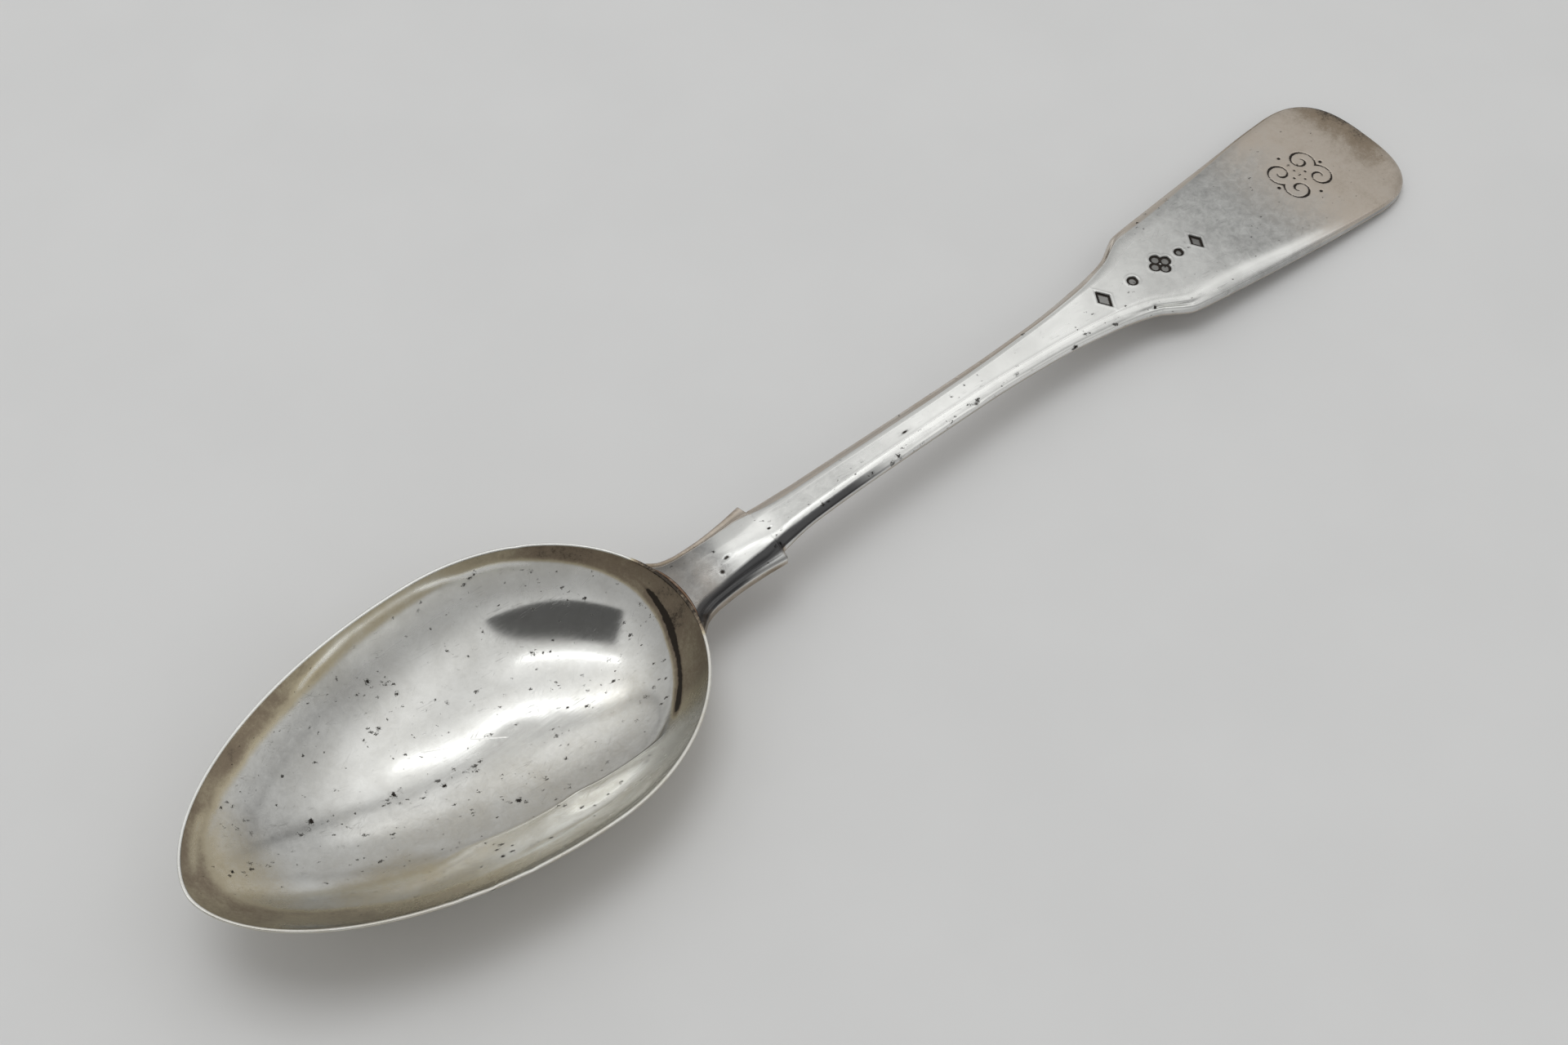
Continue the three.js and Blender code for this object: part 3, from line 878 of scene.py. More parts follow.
class TABLESPOON_OT_bowl(bpy.types.Operator):
    """Raise the egg-shaped bowl with its rounded rim, worn floor and small nicks"""

    bl_idname = "tablespoon.bowl"
    bl_label = "Bowl"

    INNER_RINGS = 110
    INNER_CROWDING = 0.85
    OUTER_RINGS = 66
    WAVELENGTH = 11
    INNER_WAVE_END = (1, 0.8)
    OUTER_WAVE_START = (0.12, 0.3)
    RIM_STEPS = 10
    RIM_ROUND = 0.22
    RIM_POWER = 0.6
    FLUSH_RIM_POWER = 0.2
    # Nicks in the rim: distance from the tip, side, depth and reach
    NICKS = [(29.8, -1, 0.28, 0.5), (35.6, -1, 0.18, 0.35), (25.4, -1, 0.16, 0.5), (64, 1, 0.12, 0.6)]
    # The wall round the dish by degrees of turn from the heel: where it starts, and how tarnished it is. On
    # the far side, from the heel to about 45 degrees, its dark tone is partly painted dark reflection
    WALL_STARTS = [
        (-180, 0.9), (-165, 0.87), (-140, 0.79), (-105, 0.77), (-75, 0.77), (-50, 0.785), (-30, 0.815),
        (-10, 0.855), (0, 0.885), (20, 0.93), (45, 0.955), (60, 0.962), (90, 0.945), (112, 0.935),
        (150, 0.945), (167, 0.93), (180, 0.9),
    ]
    WALL_TARNISH_AND_SHADE = [
        (-180, 0.58), (-140, 0.55), (-118, 0.4), (-100, 0.22), (-75, 0.16), (-50, 0.12), (-40, 0.3),
        (-30, 0.72), (-10, 0.74), (5, 0.76), (20, 0.74), (45, 0.78), (60, 0.52), (72, 0.38), (85, 0.31),
        (104, 0.33), (113, 0.5), (122, 0.68), (140, 0.7), (160, 0.66), (180, 0.58),
    ]
    WALL_BLUR = (0.015, 0.035)
    WALL_BLUR_STEP = (90, 125)
    # Painted glints along the far wall and round the tip, where tarnish and dullness are cleared to paint
    # highlights: where they run, and how strong they are
    GLINT_SHARES = [
        (36, 0.95), (53, 0.953), (64, 0.962), (73, 0.96), (82, 0.971), (93, 0.981), (102, 0.981),
        (110, 0.969), (122, 0.95), (150, 0.975), (170, 0.97),
    ]
    GLINT_STRENGTHS = [
        (36, 0), (50, 0.1), (58, 0.7), (66, 0.9), (74, 1), (84, 1), (93, 0.5), (103, 0.7), (110, 1),
        (115, 0.8), (122, 0), (148, 0), (153, 0.6), (164, 0.6), (171, 0),
    ]
    GLINT_REACH = 0.011
    NEAR_GLINT_SHARE = 0.965
    NEAR_GLINT_REACH = 0.03
    # The fine ridge that turns the far wall's glints to the light
    GLINT_RIDGE = 0.06
    GLINT_RIDGE_END = 130
    # The crease along the foot of the near wall: where it runs, and how steeply the wall leaves it
    CREASE = [(-130, 0.51), (-89, 0.506), (-72, 0.575), (-58, 0.685), (-50, 0.79), (-42, 0.88)]
    CREASE_RISE = 6.0
    CREASE_FADE = 1.2
    # The floor of the dish is worn slightly hollow
    HOLLOW_REACH = 0.24
    HOLLOW_DEPTH = 0.09
    # Sectors of the dish by degrees of turn from the heel: where each rises and where it falls
    CREASE_SECTOR = ((-135, -110), (-38, -50))
    NEAR_WALL_SECTOR = ((-125, -100), (-38, -50))
    NEAR_GLINT_SECTOR = ((-165, -145), (-100, -120))
    NEAR_LEFT_SECTOR = ((-168, -150), (-108, -122))
    HEEL_SECTOR = ((-38, -26), (58, 40))
    FOOT_LINE_SECTOR = ((-46, -36), (36, 0))
    FAR_WALL_SECTOR = ((25, 42), (130, 112))
    FAR_LEFT_SECTOR = ((98, 116), (172, 155))
    # Where parts of the dish start, by share of the way out, by distance from the tip or across
    TIP_START = (19, 2)
    NEAR_HALF_START = (3, -6)
    NEAR_HALF_END = (0.85, 0.6)
    NEAR_WALL_START = (-0.01, 0.02)
    NEAR_LEFT_START = (0.48, 0.62)
    FAR_WALL_START = (0.8, 0.88)
    FAR_LEFT_START = (0.6, 0.82)
    # The dark line along the heel wall's foot: how far above it, how wide, where it narrows and how strong
    FOOT_LINE_PLACE = 0.035
    FOOT_LINE_REACH = (0.022, 0.01)
    FOOT_LINE_STEP = (-5, 20)
    FOOT_LINE_STRENGTH = 1.4
    # The cloudy film that slants across the dish: a spot on it, its slope, its reach and its ends
    FILM_SPOT = (42.4, -5)
    FILM_SLOPE = 0.366
    FILM_SQUARE = 0.94
    FILM_REACH = 3.4
    FILM_ENDS = ((6, 18), (68, 56))
    # What each part of the dish adds to its tarnish, its roughness and its dullness
    TARNISH = {"all": 0.08, "near": 0.06, "near_left": 0.14}
    SATIN = {"tip": 0.1, "wall": 0.1, "heel_wall": 0.1, "far_wall": 0.18}
    DULLNESS = {"all": 0.3, "wall": 0.2, "tip": 0.14, "near": 0.05, "film": 0.25, "near_left": 0.3,
                "far_left": 0.26}
    TIP_TARNISH = 0.42
    DISH_SATIN = 0.115
    NEAR_WALL_SATIN = (-0.07, 0.0)
    NEAR_WALL_SATIN_STEP = (-78, -58)
    DISH_PITTING = 1.0
    WALL_PITTING = 0.5
    # How much tarnish and dullness the painted glints clear, and how much rubbing takes off the near wall
    GLINT_CLEARED_TARNISH = 0.7
    GLINT_CLEARED_DULLNESS = 0.85
    NEAR_WALL_RUBBED = 0.95
    # The outside of the bowl
    OUTSIDE_TARNISH = (0.28, 0.2)
    OUTSIDE_TARNISH_START = (0.78, 0.93)
    OUTSIDE_SATIN = 0.24
    OUTSIDE_DULLNESS = 0.5
    OUTSIDE_PITTING = 0.6
    # The rim, from its near side to its far side
    RIM_TARNISH = (0.16, 0.06)
    RIM_TARNISH_STEP = (-4, 8)
    RIM_DULLNESS = (0.4, 0.15)
    RIM_DULLNESS_STEP = (0, 12)
    RIM_SATIN = 0.2
    RIM_PITTING = 0.2
    UNDER_NECK_TARNISH = 0.97
    UNDER_NECK_DULLNESS = 0.4

    def execute(self, context):
        shape = context.scene.tablespoon_shape
        finish = context.scene.tablespoon_finish
        rim = shape.rim_width / MM
        floor = shape.floor_thickness / MM
        wave = shape.waviness / MM
        turns = np.linspace(0, 2 * math.pi, shape.bowl_segments, endpoint=False)
        inner_shares = np.sin(np.linspace(0, math.pi / 2, self.INNER_RINGS)) ** self.INNER_CROWDING
        share, turn = np.meshgrid(inner_shares, turns, indexing="ij")
        inner = bowl_point(share, turn, rim, floor, self.RIM_ROUND)
        share_out, turn_out = np.meshgrid(np.linspace(1, 0, self.OUTER_RINGS), turns, indexing="ij")
        outer = bowl_point(share_out, turn_out, 0, 0, self.RIM_ROUND)
        lip = self.rim_rings(turns, rim)
        inner_wave = wave * ripple(inner, self.WAVELENGTH, 1) * smooth(*self.INNER_WAVE_END, share)
        ridge = self.GLINT_RIDGE * self.glints(share, turn, -self.GLINT_REACH)
        inner[..., 2] += inner_wave + self.creased(share, turn)
        inner[..., 2] += ridge * (turn < math.radians(self.GLINT_RIDGE_END))
        inner[..., 2] -= self.HOLLOW_DEPTH * np.maximum(0, 1 - (share / self.HOLLOW_REACH) ** 2) ** 2
        outer_wave = wave * np.abs(ripple(outer, self.WAVELENGTH, 2))
        outer[..., 2] += outer_wave * smooth(*self.OUTER_WAVE_START, share_out)
        points = np.concatenate([inner, lip, outer])
        shares = np.concatenate([share, np.ones(lip.shape[:2]), share_out])
        rings = [len(inner), len(lip), len(outer)]
        inside = np.repeat([True, False, False], rings)[:, None]
        outside = np.repeat([False, False, True], rings)[:, None]
        marks = self.marks(points, shares, np.broadcast_to(turns, shares.shape), inside, outside)
        add_piece("raised_bowl", points, grid_faces(*shares.shape), marks,
                  silver_material("bowl_silver", finish, finish.tarnish_gold), "bowl")
        return {"FINISHED"}

    def rim_rings(self, turns, rim):
        """Rings over the rounded rim, from its inner edge to its outer edge, with the nicks pressed in."""
        rings = []
        for step in range(1, self.RIM_STEPS):
            angle = math.pi * step / self.RIM_STEPS
            lean = math.copysign(abs(math.cos(angle)) ** self.RIM_POWER, math.cos(angle))
            rise = math.sin(angle)
            raised = rise ** self.RIM_POWER * (self.RIM_ROUND + RIM_CROWN) - self.RIM_ROUND
            flush = rise ** self.FLUSH_RIM_POWER * (self.RIM_ROUND + 2 * RIM_CROWN) - self.RIM_ROUND
            ring = bowl_point(np.ones_like(turns), turns, rim / 2 * (1 + lean), 0)
            covered = under_neck(ring[:, 0] - TIP_X, ring[:, 1])
            for place, hand, depth, reach in self.NICKS:
                beside = np.sign(ring[:, 1]) == hand
                ring[:, 2] -= np.where(beside, depth * bump_at(ring[:, 0] - TIP_X, place, reach), 0)
            ring[:, 2] += mix(raised, flush, covered)
            rings.append(ring)
        return np.array(rings)

    def glints(self, share, turn, shift=0.0):
        """Strength of the glints along the far wall and round the tip, moved outwards by a shift: where they
        raise the ridge and where they paint highlights.
        """
        degrees = signed_degrees(turn)
        middle = curve_through(self.GLINT_SHARES)(degrees) + shift
        return bump_at(share, middle, self.GLINT_REACH) * curve_through(self.GLINT_STRENGTHS)(degrees)

    def creased(self, share, turn):
        """How far the near wall stands proud past the fine crease along its foot."""
        degrees = signed_degrees(turn)
        foot = curve_through(self.CREASE)(degrees)
        climb = np.maximum(0, share - foot) / (1 - foot)
        near = between(self.CREASE_SECTOR, degrees)
        return self.CREASE_RISE * (1 - foot) * near * climb * (1 - climb) ** self.CREASE_FADE

    def dish_areas(self, s, y, share, degrees):
        """Parts of the dish that wear in their own way, each from 0 outside it to 1 inside it."""
        start = curve_through(self.WALL_STARTS)(degrees)
        blur = mix(*self.WALL_BLUR, smooth(*self.WALL_BLUR_STEP, np.abs(degrees)))
        wall = smooth(start - blur, start + blur, share)
        foot = curve_through(self.CREASE)(degrees)
        from_foot = smooth(foot + self.NEAR_WALL_START[0], foot + self.NEAR_WALL_START[1], share)
        line_reach = mix(*self.FOOT_LINE_REACH, smooth(*self.FOOT_LINE_STEP, degrees))
        foot_line = bump_at(share, start + self.FOOT_LINE_PLACE, line_reach)
        film_line = (y - self.FILM_SPOT[1] + self.FILM_SLOPE * (s - self.FILM_SPOT[0])) * self.FILM_SQUARE
        return {
            "all": 1.0,
            "tip": smooth(*self.TIP_START, s),
            "wall": wall,
            "heel_wall": wall * between(self.HEEL_SECTOR, degrees),
            "near": smooth(*self.NEAR_HALF_START, y) * smooth(*self.NEAR_HALF_END, share),
            "near_wall": from_foot * between(self.NEAR_WALL_SECTOR, degrees),
            "near_left": between(self.NEAR_LEFT_SECTOR, degrees) * smooth(*self.NEAR_LEFT_START, share),
            "far_wall": between(self.FAR_WALL_SECTOR, degrees) * smooth(*self.FAR_WALL_START, share),
            "far_left": between(self.FAR_LEFT_SECTOR, degrees) * smooth(*self.FAR_LEFT_START, share),
            "foot_line": foot_line * between(self.FOOT_LINE_SECTOR, degrees),
            "film": bump_at(film_line, 0, self.FILM_REACH) * between(self.FILM_ENDS, s),
        }

    def marks(self, points, share, turn, inside, outside):
        """Tarnish, gloss and pitting at every point, for the inside, the outside and the rim between them."""
        s, y = points[..., 0] - TIP_X, points[..., 1]
        degrees = signed_degrees(turn)
        areas = self.dish_areas(s, y, share, degrees)
        near_glint = bump_at(share, self.NEAR_GLINT_SHARE, self.NEAR_GLINT_REACH)
        # Painted highlights: the glints clear tarnish and dullness where they run
        painted_glint = np.maximum(self.glints(share, turn), near_glint * between(self.NEAR_GLINT_SECTOR, degrees))
        covered = under_neck(s, y)

        def by_side(dish, back, rim):
            """The value for the inside of the dish, for its back or for its rim."""
            return np.where(inside, dish, np.where(outside, back, rim))

        # Tarnish of the dish; on the far wall near the heel it partly paints a dark reflection
        tarnish_dish = np.maximum.reduce([
            curve_through(self.WALL_TARNISH_AND_SHADE)(degrees) * areas["wall"],
            self.FOOT_LINE_STRENGTH * areas["foot_line"],
            self.TIP_TARNISH * areas["tip"],
            worn_sum(self.TARNISH, areas),
        ])
        tarnish_dish *= 1 - self.GLINT_CLEARED_TARNISH * painted_glint
        base, added = self.OUTSIDE_TARNISH
        tarnish_back = base + added * smooth(*self.OUTSIDE_TARNISH_START, share)
        tarnish_rim = mix(*self.RIM_TARNISH, smooth(*self.RIM_TARNISH_STEP, y))
        tarnish_rim = mix(tarnish_rim, self.UNDER_NECK_TARNISH, covered)
        satin_dish = self.DISH_SATIN + worn_sum(self.SATIN, areas) * (1 - painted_glint)
        polish = mix(*self.NEAR_WALL_SATIN, smooth(*self.NEAR_WALL_SATIN_STEP, degrees))
        satin_dish += areas["near_wall"] * polish
        dull_dish = worn_sum(self.DULLNESS, areas) * (1 - self.GLINT_CLEARED_DULLNESS * painted_glint)
        dull_dish *= 1 - self.NEAR_WALL_RUBBED * areas["near_wall"]
        dull_rim = mix(*self.RIM_DULLNESS, smooth(*self.RIM_DULLNESS_STEP, y))
        dull_rim += self.UNDER_NECK_DULLNESS * covered
        pitting_dish = self.DISH_PITTING - self.WALL_PITTING * areas["wall"]
        return {
            "tarnish": by_side(tarnish_dish, tarnish_back, tarnish_rim),
            "satin": by_side(satin_dish, self.OUTSIDE_SATIN, self.RIM_SATIN),
            "dull": by_side(dull_dish, self.OUTSIDE_DULLNESS, dull_rim),
            "pitting": by_side(pitting_dish, self.OUTSIDE_PITTING, self.RIM_PITTING),
            "cavity": np.zeros_like(s),
            "painted_shade": np.zeros_like(s),
        }


class TABLESPOON_OT_handle(bpy.types.Operator):
    """Forge the handle: spurred neck, bevelled stem, shoulders, struck and engraved face and rounded end"""

    bl_idname = "tablespoon.handle"
    bl_label = "Handle"

    WAVELENGTH = 9
    CAP_RINGS = 8
    NECK_RINGS = 44
    NECK_CROWDING = 1.3
    # Stretches of even rings: start, end and count
    SPANS = [
        (84, 91.8, 18), (91.8, 92.8, 14), (92.8, 100, 14), (100, 156, 56), (156, 184, 150), (184, 200, 22),
        (200, 211, 62),
    ]
    END_RINGS = 44
    # Large pits: distance from the tip, place across, reach and depth
    PITS = [
        (118.9, -0.2, 0.7, 0.16), (117.4, -2.9, 0.8, 0.2), (131.3, -2.7, 1.1, 0.3), (142.2, -3.1, 0.5, 0.15),
        (165.9, -5.6, 0.6, 0.3), (85.1, -0.7, 0.9, 0.1), (83.3, -2.1, 1.0, 0.12), (92.8, -0.7, 0.6, 0.12),
    ]
    PIT_SQUASH = 1.3
    PIT_CORE = 0.4
    # Stretches of the handle by distance from the tip: where each one's eased edge starts and ends
    NECK = (94, 90)
    NECK_ROOT = (86, 80)
    NECK_SHADE = (83.5, 79)
    NECK_FOOT = (79.5, 77.6)
    STEM_TOP = (96, 124)
    END_TOP = (160, 180)
    END_BEVEL = (170, 178)
    END = (186, 218)
    END_CORNER = (215, 221.5)
    # Eased edges across the handle, and in height
    FOOT_ACROSS = (3.8, 5.6)
    NOTCH_ACROSS = (3.4, 3.8)
    END_CORNER_ACROSS = (-10, 4)
    COPPER_HEIGHT = (9.9, 9.2)
    # Bumps of wear along the handle: middle and reach
    NOTCH_PLACE = (NOTCH + 0.25, 0.4)
    FLUTE = (168, 2.6)
    # Rubbed lines beside the flat and along the face's near edge, whose cleared dullness also paints
    # highlights: place from its edge and reach, and the stretch that each runs along
    RUBBED_HIGHLIGHT_PLACE = (-0.15, 0.28)
    RUBBED_HIGHLIGHT_ENDS = ((92, 95), (160, 150))
    WORN_EDGE_HIGHLIGHT_PLACE = (0.2, 0.9)
    WORN_EDGE_HIGHLIGHT_ENDS = ((168, 175), (210, 196))
    # The stretch whose near side is eaten by pits
    EATEN = (108, 160)
    # What each part of the handle adds to its tarnish, and the least tarnish of its deep places; the notch's
    # darkening is painted shadow
    TARNISH = {"all": 0.04, "end": 0.44, "end_corner": 0.45, "far_bevel": 0.3, "far_neck_bevel": 0.2,
               "belly": 0.25, "neck_root": 0.15}
    DEEP_TARNISH_AND_SHADOW = {"copper": 0.75, "neck_foot": 0.95, "notch": 0.85}
    # Roughness and pitting by zone, and what some stretches add
    BEVEL_SATIN, SIDE_SATIN, BELLY_SATIN, TOP_SATIN = 0.16, 0.2, 0.28, 0.22
    ADDED_SATIN = {"stem_top": 0.08, "end_top": 0.06, "end_bevel": 0.12}
    FLUTE_SATIN = 0.06
    EATEN_PITTING, BEVEL_PITTING, REST_PITTING = 1.9, 0.9, 0.6
    # Dullness of the top by distance from the tip, and of the bevels and the back. The clean stretch over the
    # neck's hump also paints a highlight there
    TOP_DULLNESS_AND_HIGHLIGHT = [
        (74, 0.9), (83.5, 0.9), (87, 0.1), (92.5, 0.12), (96, 0.52), (108, 0.46), (117, 0.22), (123, 0.05),
        (154, 0.05), (166, 0.3), (176, 0.48), (187, 0.82), (222, 0.97),
    ]
    RUBBED_HIGHLIGHT_SHARE = 0.9
    FAR_BEVEL_DULLNESS = 0.7
    NEAR_BEVEL_DULLNESS = (0.35, 0.5)
    NEAR_BEVEL_STEP = (150, 170)
    BELLY_DULLNESS = 0.5
    # Painted shade for the dark reflection on the near bevel of the neck and stem: where it starts past the
    # flat, thins out and ends, and how dark it is there and on the neck's root
    PAINTED_SHADE_OFFSET = (-0.1, 0.25)
    PAINTED_SHADE_OFFSET_STEP = (90, 97)
    PAINTED_SHADE_START = (0, 0.35)
    PAINTED_SHADE_THIN = 0.6
    PAINTED_SHADE_THIN_STEP = (1.7, 2.5)
    PAINTED_SHADE_END = (118, 106)
    BEVEL_PAINTED_SHADE = 0.96
    NECK_PAINTED_SHADE = 0.5
    # Tarnish in the struck and engraved work: paler on the floor of a punch
    PUNCH_FLOOR_TARNISH = 0.42
    PUNCH_FLOOR_STEP = (-0.12, -0.4)
    CUT_TARNISH = 0.9

    def execute(self, context):
        wave = context.scene.tablespoon_shape.waviness / MM
        finish = context.scene.tablespoon_finish
        stations = np.concatenate([np.linspace(a, b, count, endpoint=False) for a, b, count in self.SPANS])
        half = np.concatenate([self.neck_rings(), self.planar_rings(stations), self.end_rings()])
        points = np.concatenate([half * (1, -1, 1), half[:, -2:0:-1]], axis=1)
        zones = np.concatenate([COLUMN_ZONES, COLUMN_ZONES[-2:0:-1]])
        zones = np.broadcast_to(zones, points.shape[:2])
        cavity = self.press_details(points, zones)
        marks = self.marks(points, zones, cavity)
        sway = wave * ripple(points, self.WAVELENGTH, 3)
        points[..., 2] += sway * (zones < BELLY_ZONE)
        points[..., 0] += TIP_X
        add_piece("forged_handle", points, grid_faces(*zones.shape), marks,
                  silver_material("handle_silver", finish, finish.tarnish_pale), "handle")
        return {"FINISHED"}

    def neck_rings(self):
        """Rings that start on the bowl's outside and straighten out along the neck."""
        share = np.linspace(0, 1, self.NECK_RINGS, endpoint=False)[:, None] ** self.NECK_CROWDING
        s = mix(neck_starts(NECK_MARGIN)[None, :], NECK_LOFT_END, share)
        y, z = half_section(s)
        cap_share = np.linspace(0, 1, self.CAP_RINGS, endpoint=False)[:, None]
        middle = (z[0].max() + z[0].min()) / 2
        cap_y = y[0] * cap_share
        cap_z = mix(middle, z[0], cap_share)
        cap = np.stack([heel_place(cap_y, cap_z, NECK_MARGIN), cap_y, cap_z], -1)
        return np.concatenate([cap, np.stack([s, y, z], -1)])

    def planar_rings(self, stations):
        """Rings square to the spoon's length."""
        s = np.repeat(stations[:, None], HALF_COLUMNS, axis=1)
        y, z = half_section(s)
        return np.stack([s, y, z], -1)

    def end_rings(self):
        """Rings that fan round the handle's end, so that its edge stays rounded all the way."""
        start = np.full((1, HALF_COLUMNS), END_ARC_START)
        y, z = half_section(start)[:, 0]
        widest = half_width(np.array([END_ARC_START]))[0]
        share = y / widest
        back, top = back_height(start[0]), top_height(start[0])
        raised = (z - back) / (top - back)
        turns = np.linspace(0, math.pi / 2, self.END_RINGS)[:, None]
        along = np.sin(turns) ** (2 / END_ARC_POWER)
        across = np.cos(turns).clip(0) ** (2 / END_ARC_POWER)
        across[-1] = 0
        s = END_ARC_START + (LENGTH - END_ARC_START) * along * share
        return np.stack([s, share * widest * across, mix(back_height(s), top_height(s), raised)], -1)

    def press_details(self, points, zones):
        """Presses the punches, the engraving and the pits into the metal, and gives how dark they are."""
        s, y = points[..., 0], points[..., 1]
        face = zones <= FLAT_CORNER_ZONE
        outside_punch = np.where(face, struck_outside(s, y), np.inf)
        struck = smooth(PUNCH_SOFTNESS, -PUNCH_SOFTNESS, outside_punch)
        burr = PUNCH_BURR * bump_at(outside_punch, PUNCH_BURR_PLACE, PUNCH_SOFTNESS)
        cut = np.where(face, engraved_depth(s, y), 0)
        pitted = np.zeros_like(s)
        for place, across, reach, depth in self.PITS:
            distance = np.hypot(s - place, (y - across) * self.PIT_SQUASH)
            spot = bump_at(distance, 0, reach * self.PIT_CORE) * (zones <= EDGE_ZONE)
            points[..., 2] -= spot * depth
            pitted = np.maximum(pitted, spot)
        points[..., 2] += burr - struck * PUNCH_DEPTH - cut * ENGRAVED_DEPTH
        floor = smooth(*self.PUNCH_FLOOR_STEP, outside_punch)
        struck_tarnish = struck * mix(1, self.PUNCH_FLOOR_TARNISH, floor)
        return np.maximum.reduce([struck_tarnish, self.CUT_TARNISH * cut, self.CUT_TARNISH * pitted])

    def handle_areas(self, points, zones):
        """Parts of the handle that wear in their own way, each from 0 outside it to 1 inside it."""
        s, y, z = np.moveaxis(points, -1, 0)
        upper = zones < SIDE_ZONE
        bevel = (zones == BEVEL_ZONE) | (zones == EDGE_ZONE)
        neck = smooth(*self.NECK, s)
        return {
            "all": 1.0,
            "end": smooth(*self.END, s) * upper,
            "end_corner": smooth(*self.END_CORNER, s) * smooth(*self.END_CORNER_ACROSS, y) * upper,
            "far_bevel": bevel * (y > 0),
            "far_neck_bevel": neck * bevel * (y > 0),
            "belly": zones == BELLY_ZONE,
            "neck_root": smooth(*self.NECK_ROOT, s) * (zones <= BEVEL_ZONE),
            "copper": neck * (zones >= SIDE_ZONE) * smooth(*self.COPPER_HEIGHT, z),
            "neck_foot": smooth(*self.NECK_FOOT, s) * smooth(*self.FOOT_ACROSS, -y),
            # The notch's darkening is painted shadow in its recess
            "notch": bump_at(s, *self.NOTCH_PLACE) * smooth(*self.NOTCH_ACROSS, np.abs(y)),
            "stem_top": smooth(*self.STEM_TOP, s) * (zones == TOP_ZONE),
            "end_top": smooth(*self.END_TOP, s) * (zones == TOP_ZONE),
            "end_bevel": smooth(*self.END_BEVEL, s) * ((zones == BEVEL_ZONE) | (zones == FLAT_CORNER_ZONE)),
            "flute": bump_at(s, *self.FLUTE) * bevel * (y < 0),
        }

    def marks(self, points, zones, cavity):
        """Tarnish, gloss, painted shade and pitting at every point."""
        s, y = points[..., 0], points[..., 1]
        bevel, belly = zones == BEVEL_ZONE, zones == BELLY_ZONE
        side = (zones == SIDE_ZONE) | (zones == EDGE_ZONE)
        areas = self.handle_areas(points, zones)
        deep = [least * areas[name] for name, least in self.DEEP_TARNISH_AND_SHADOW.items()]
        tarnish = np.maximum.reduce([worn_sum(self.TARNISH, areas), *deep])
        zone_satin = [self.BEVEL_SATIN, self.SIDE_SATIN, self.BELLY_SATIN]
        satin = np.select([bevel, side, belly], zone_satin, self.TOP_SATIN)
        satin = mix(satin + worn_sum(self.ADDED_SATIN, areas), self.FLUTE_SATIN, areas["flute"])
        eaten = (side | bevel) & (y < 0) & (s > self.EATEN[0]) & (s < self.EATEN[1])
        pitting = np.select([eaten, bevel], [self.EATEN_PITTING, self.BEVEL_PITTING], self.REST_PITTING)
        flat = flat_half_width(s)
        # Rubbed lines beside the flat; clearing their dullness also paints the highlights on the flat's edges
        rubbed = bump_at(np.abs(y), flat + self.RUBBED_HIGHLIGHT_PLACE[0], self.RUBBED_HIGHLIGHT_PLACE[1])
        rubbed *= between(self.RUBBED_HIGHLIGHT_ENDS, s)
        # The face's rubbed near edge; clearing its dullness also paints a highlight along it
        worn_edge_highlight = bump_at(-y, flat + self.WORN_EDGE_HIGHLIGHT_PLACE[0], self.WORN_EDGE_HIGHLIGHT_PLACE[1])
        worn_edge_highlight *= between(self.WORN_EDGE_HIGHLIGHT_ENDS, s)
        # The top's dullness, with a painted highlight over the neck's hump
        top_dull = curve_through(self.TOP_DULLNESS_AND_HIGHLIGHT)(s) * (1 - self.RUBBED_HIGHLIGHT_SHARE * rubbed)
        near_dull = mix(*self.NEAR_BEVEL_DULLNESS, smooth(*self.NEAR_BEVEL_STEP, s))
        bevel_dull = np.where(y > 0, self.FAR_BEVEL_DULLNESS, near_dull)
        dull = np.select([bevel, belly], [bevel_dull, self.BELLY_DULLNESS], top_dull)
        dull = mix(dull, 0, np.maximum(areas["flute"], worn_edge_highlight))
        past_flat = -y - flat - mix(*self.PAINTED_SHADE_OFFSET, smooth(*self.PAINTED_SHADE_OFFSET_STEP, s))
        thinned = mix(1, self.PAINTED_SHADE_THIN, smooth(*self.PAINTED_SHADE_THIN_STEP, past_flat))
        shaded = smooth(*self.PAINTED_SHADE_START, past_flat) * thinned
        # Painted shade on the near bevel, standing for its dark reflection
        bevel_painted_shade = self.BEVEL_PAINTED_SHADE * shaded * (zones < SIDE_ZONE) * smooth(*self.PAINTED_SHADE_END, s)
        # Painted shade darkening the top of the neck's root
        neck_painted_shade = self.NECK_PAINTED_SHADE * smooth(*self.NECK_SHADE, s) * (zones <= FLAT_CORNER_ZONE)
        return {"tarnish": tarnish, "satin": satin, "cavity": cavity, "pitting": pitting, "dull": dull,
                "painted_shade": np.maximum(bevel_painted_shade, neck_painted_shade)}


class TABLESPOON_OT_heel_drop(bpy.types.Operator):
    """Lay the rounded drop on the back of the bowl under the neck"""

    bl_idname = "tablespoon.heel_drop"
    bl_label = "Heel Drop"

    MARKS = {"tarnish": 0.35, "satin": 0.24, "cavity": 0.0, "pitting": 0.6, "dull": 0.5, "painted_shade": 0.0}

    def execute(self, context):
        finish = context.scene.tablespoon_finish
        points, faces = drop_shell(DROP_MARGIN, DROP_THICKNESS, 0.0)
        marks = {name: np.full(len(points), value) for name, value in self.MARKS.items()}
        material = silver_material("drop_silver", finish, finish.tarnish_pale)
        add_piece("heel_tongue", points, faces, marks, material, "heel_drop")
        return {"FINISHED"}


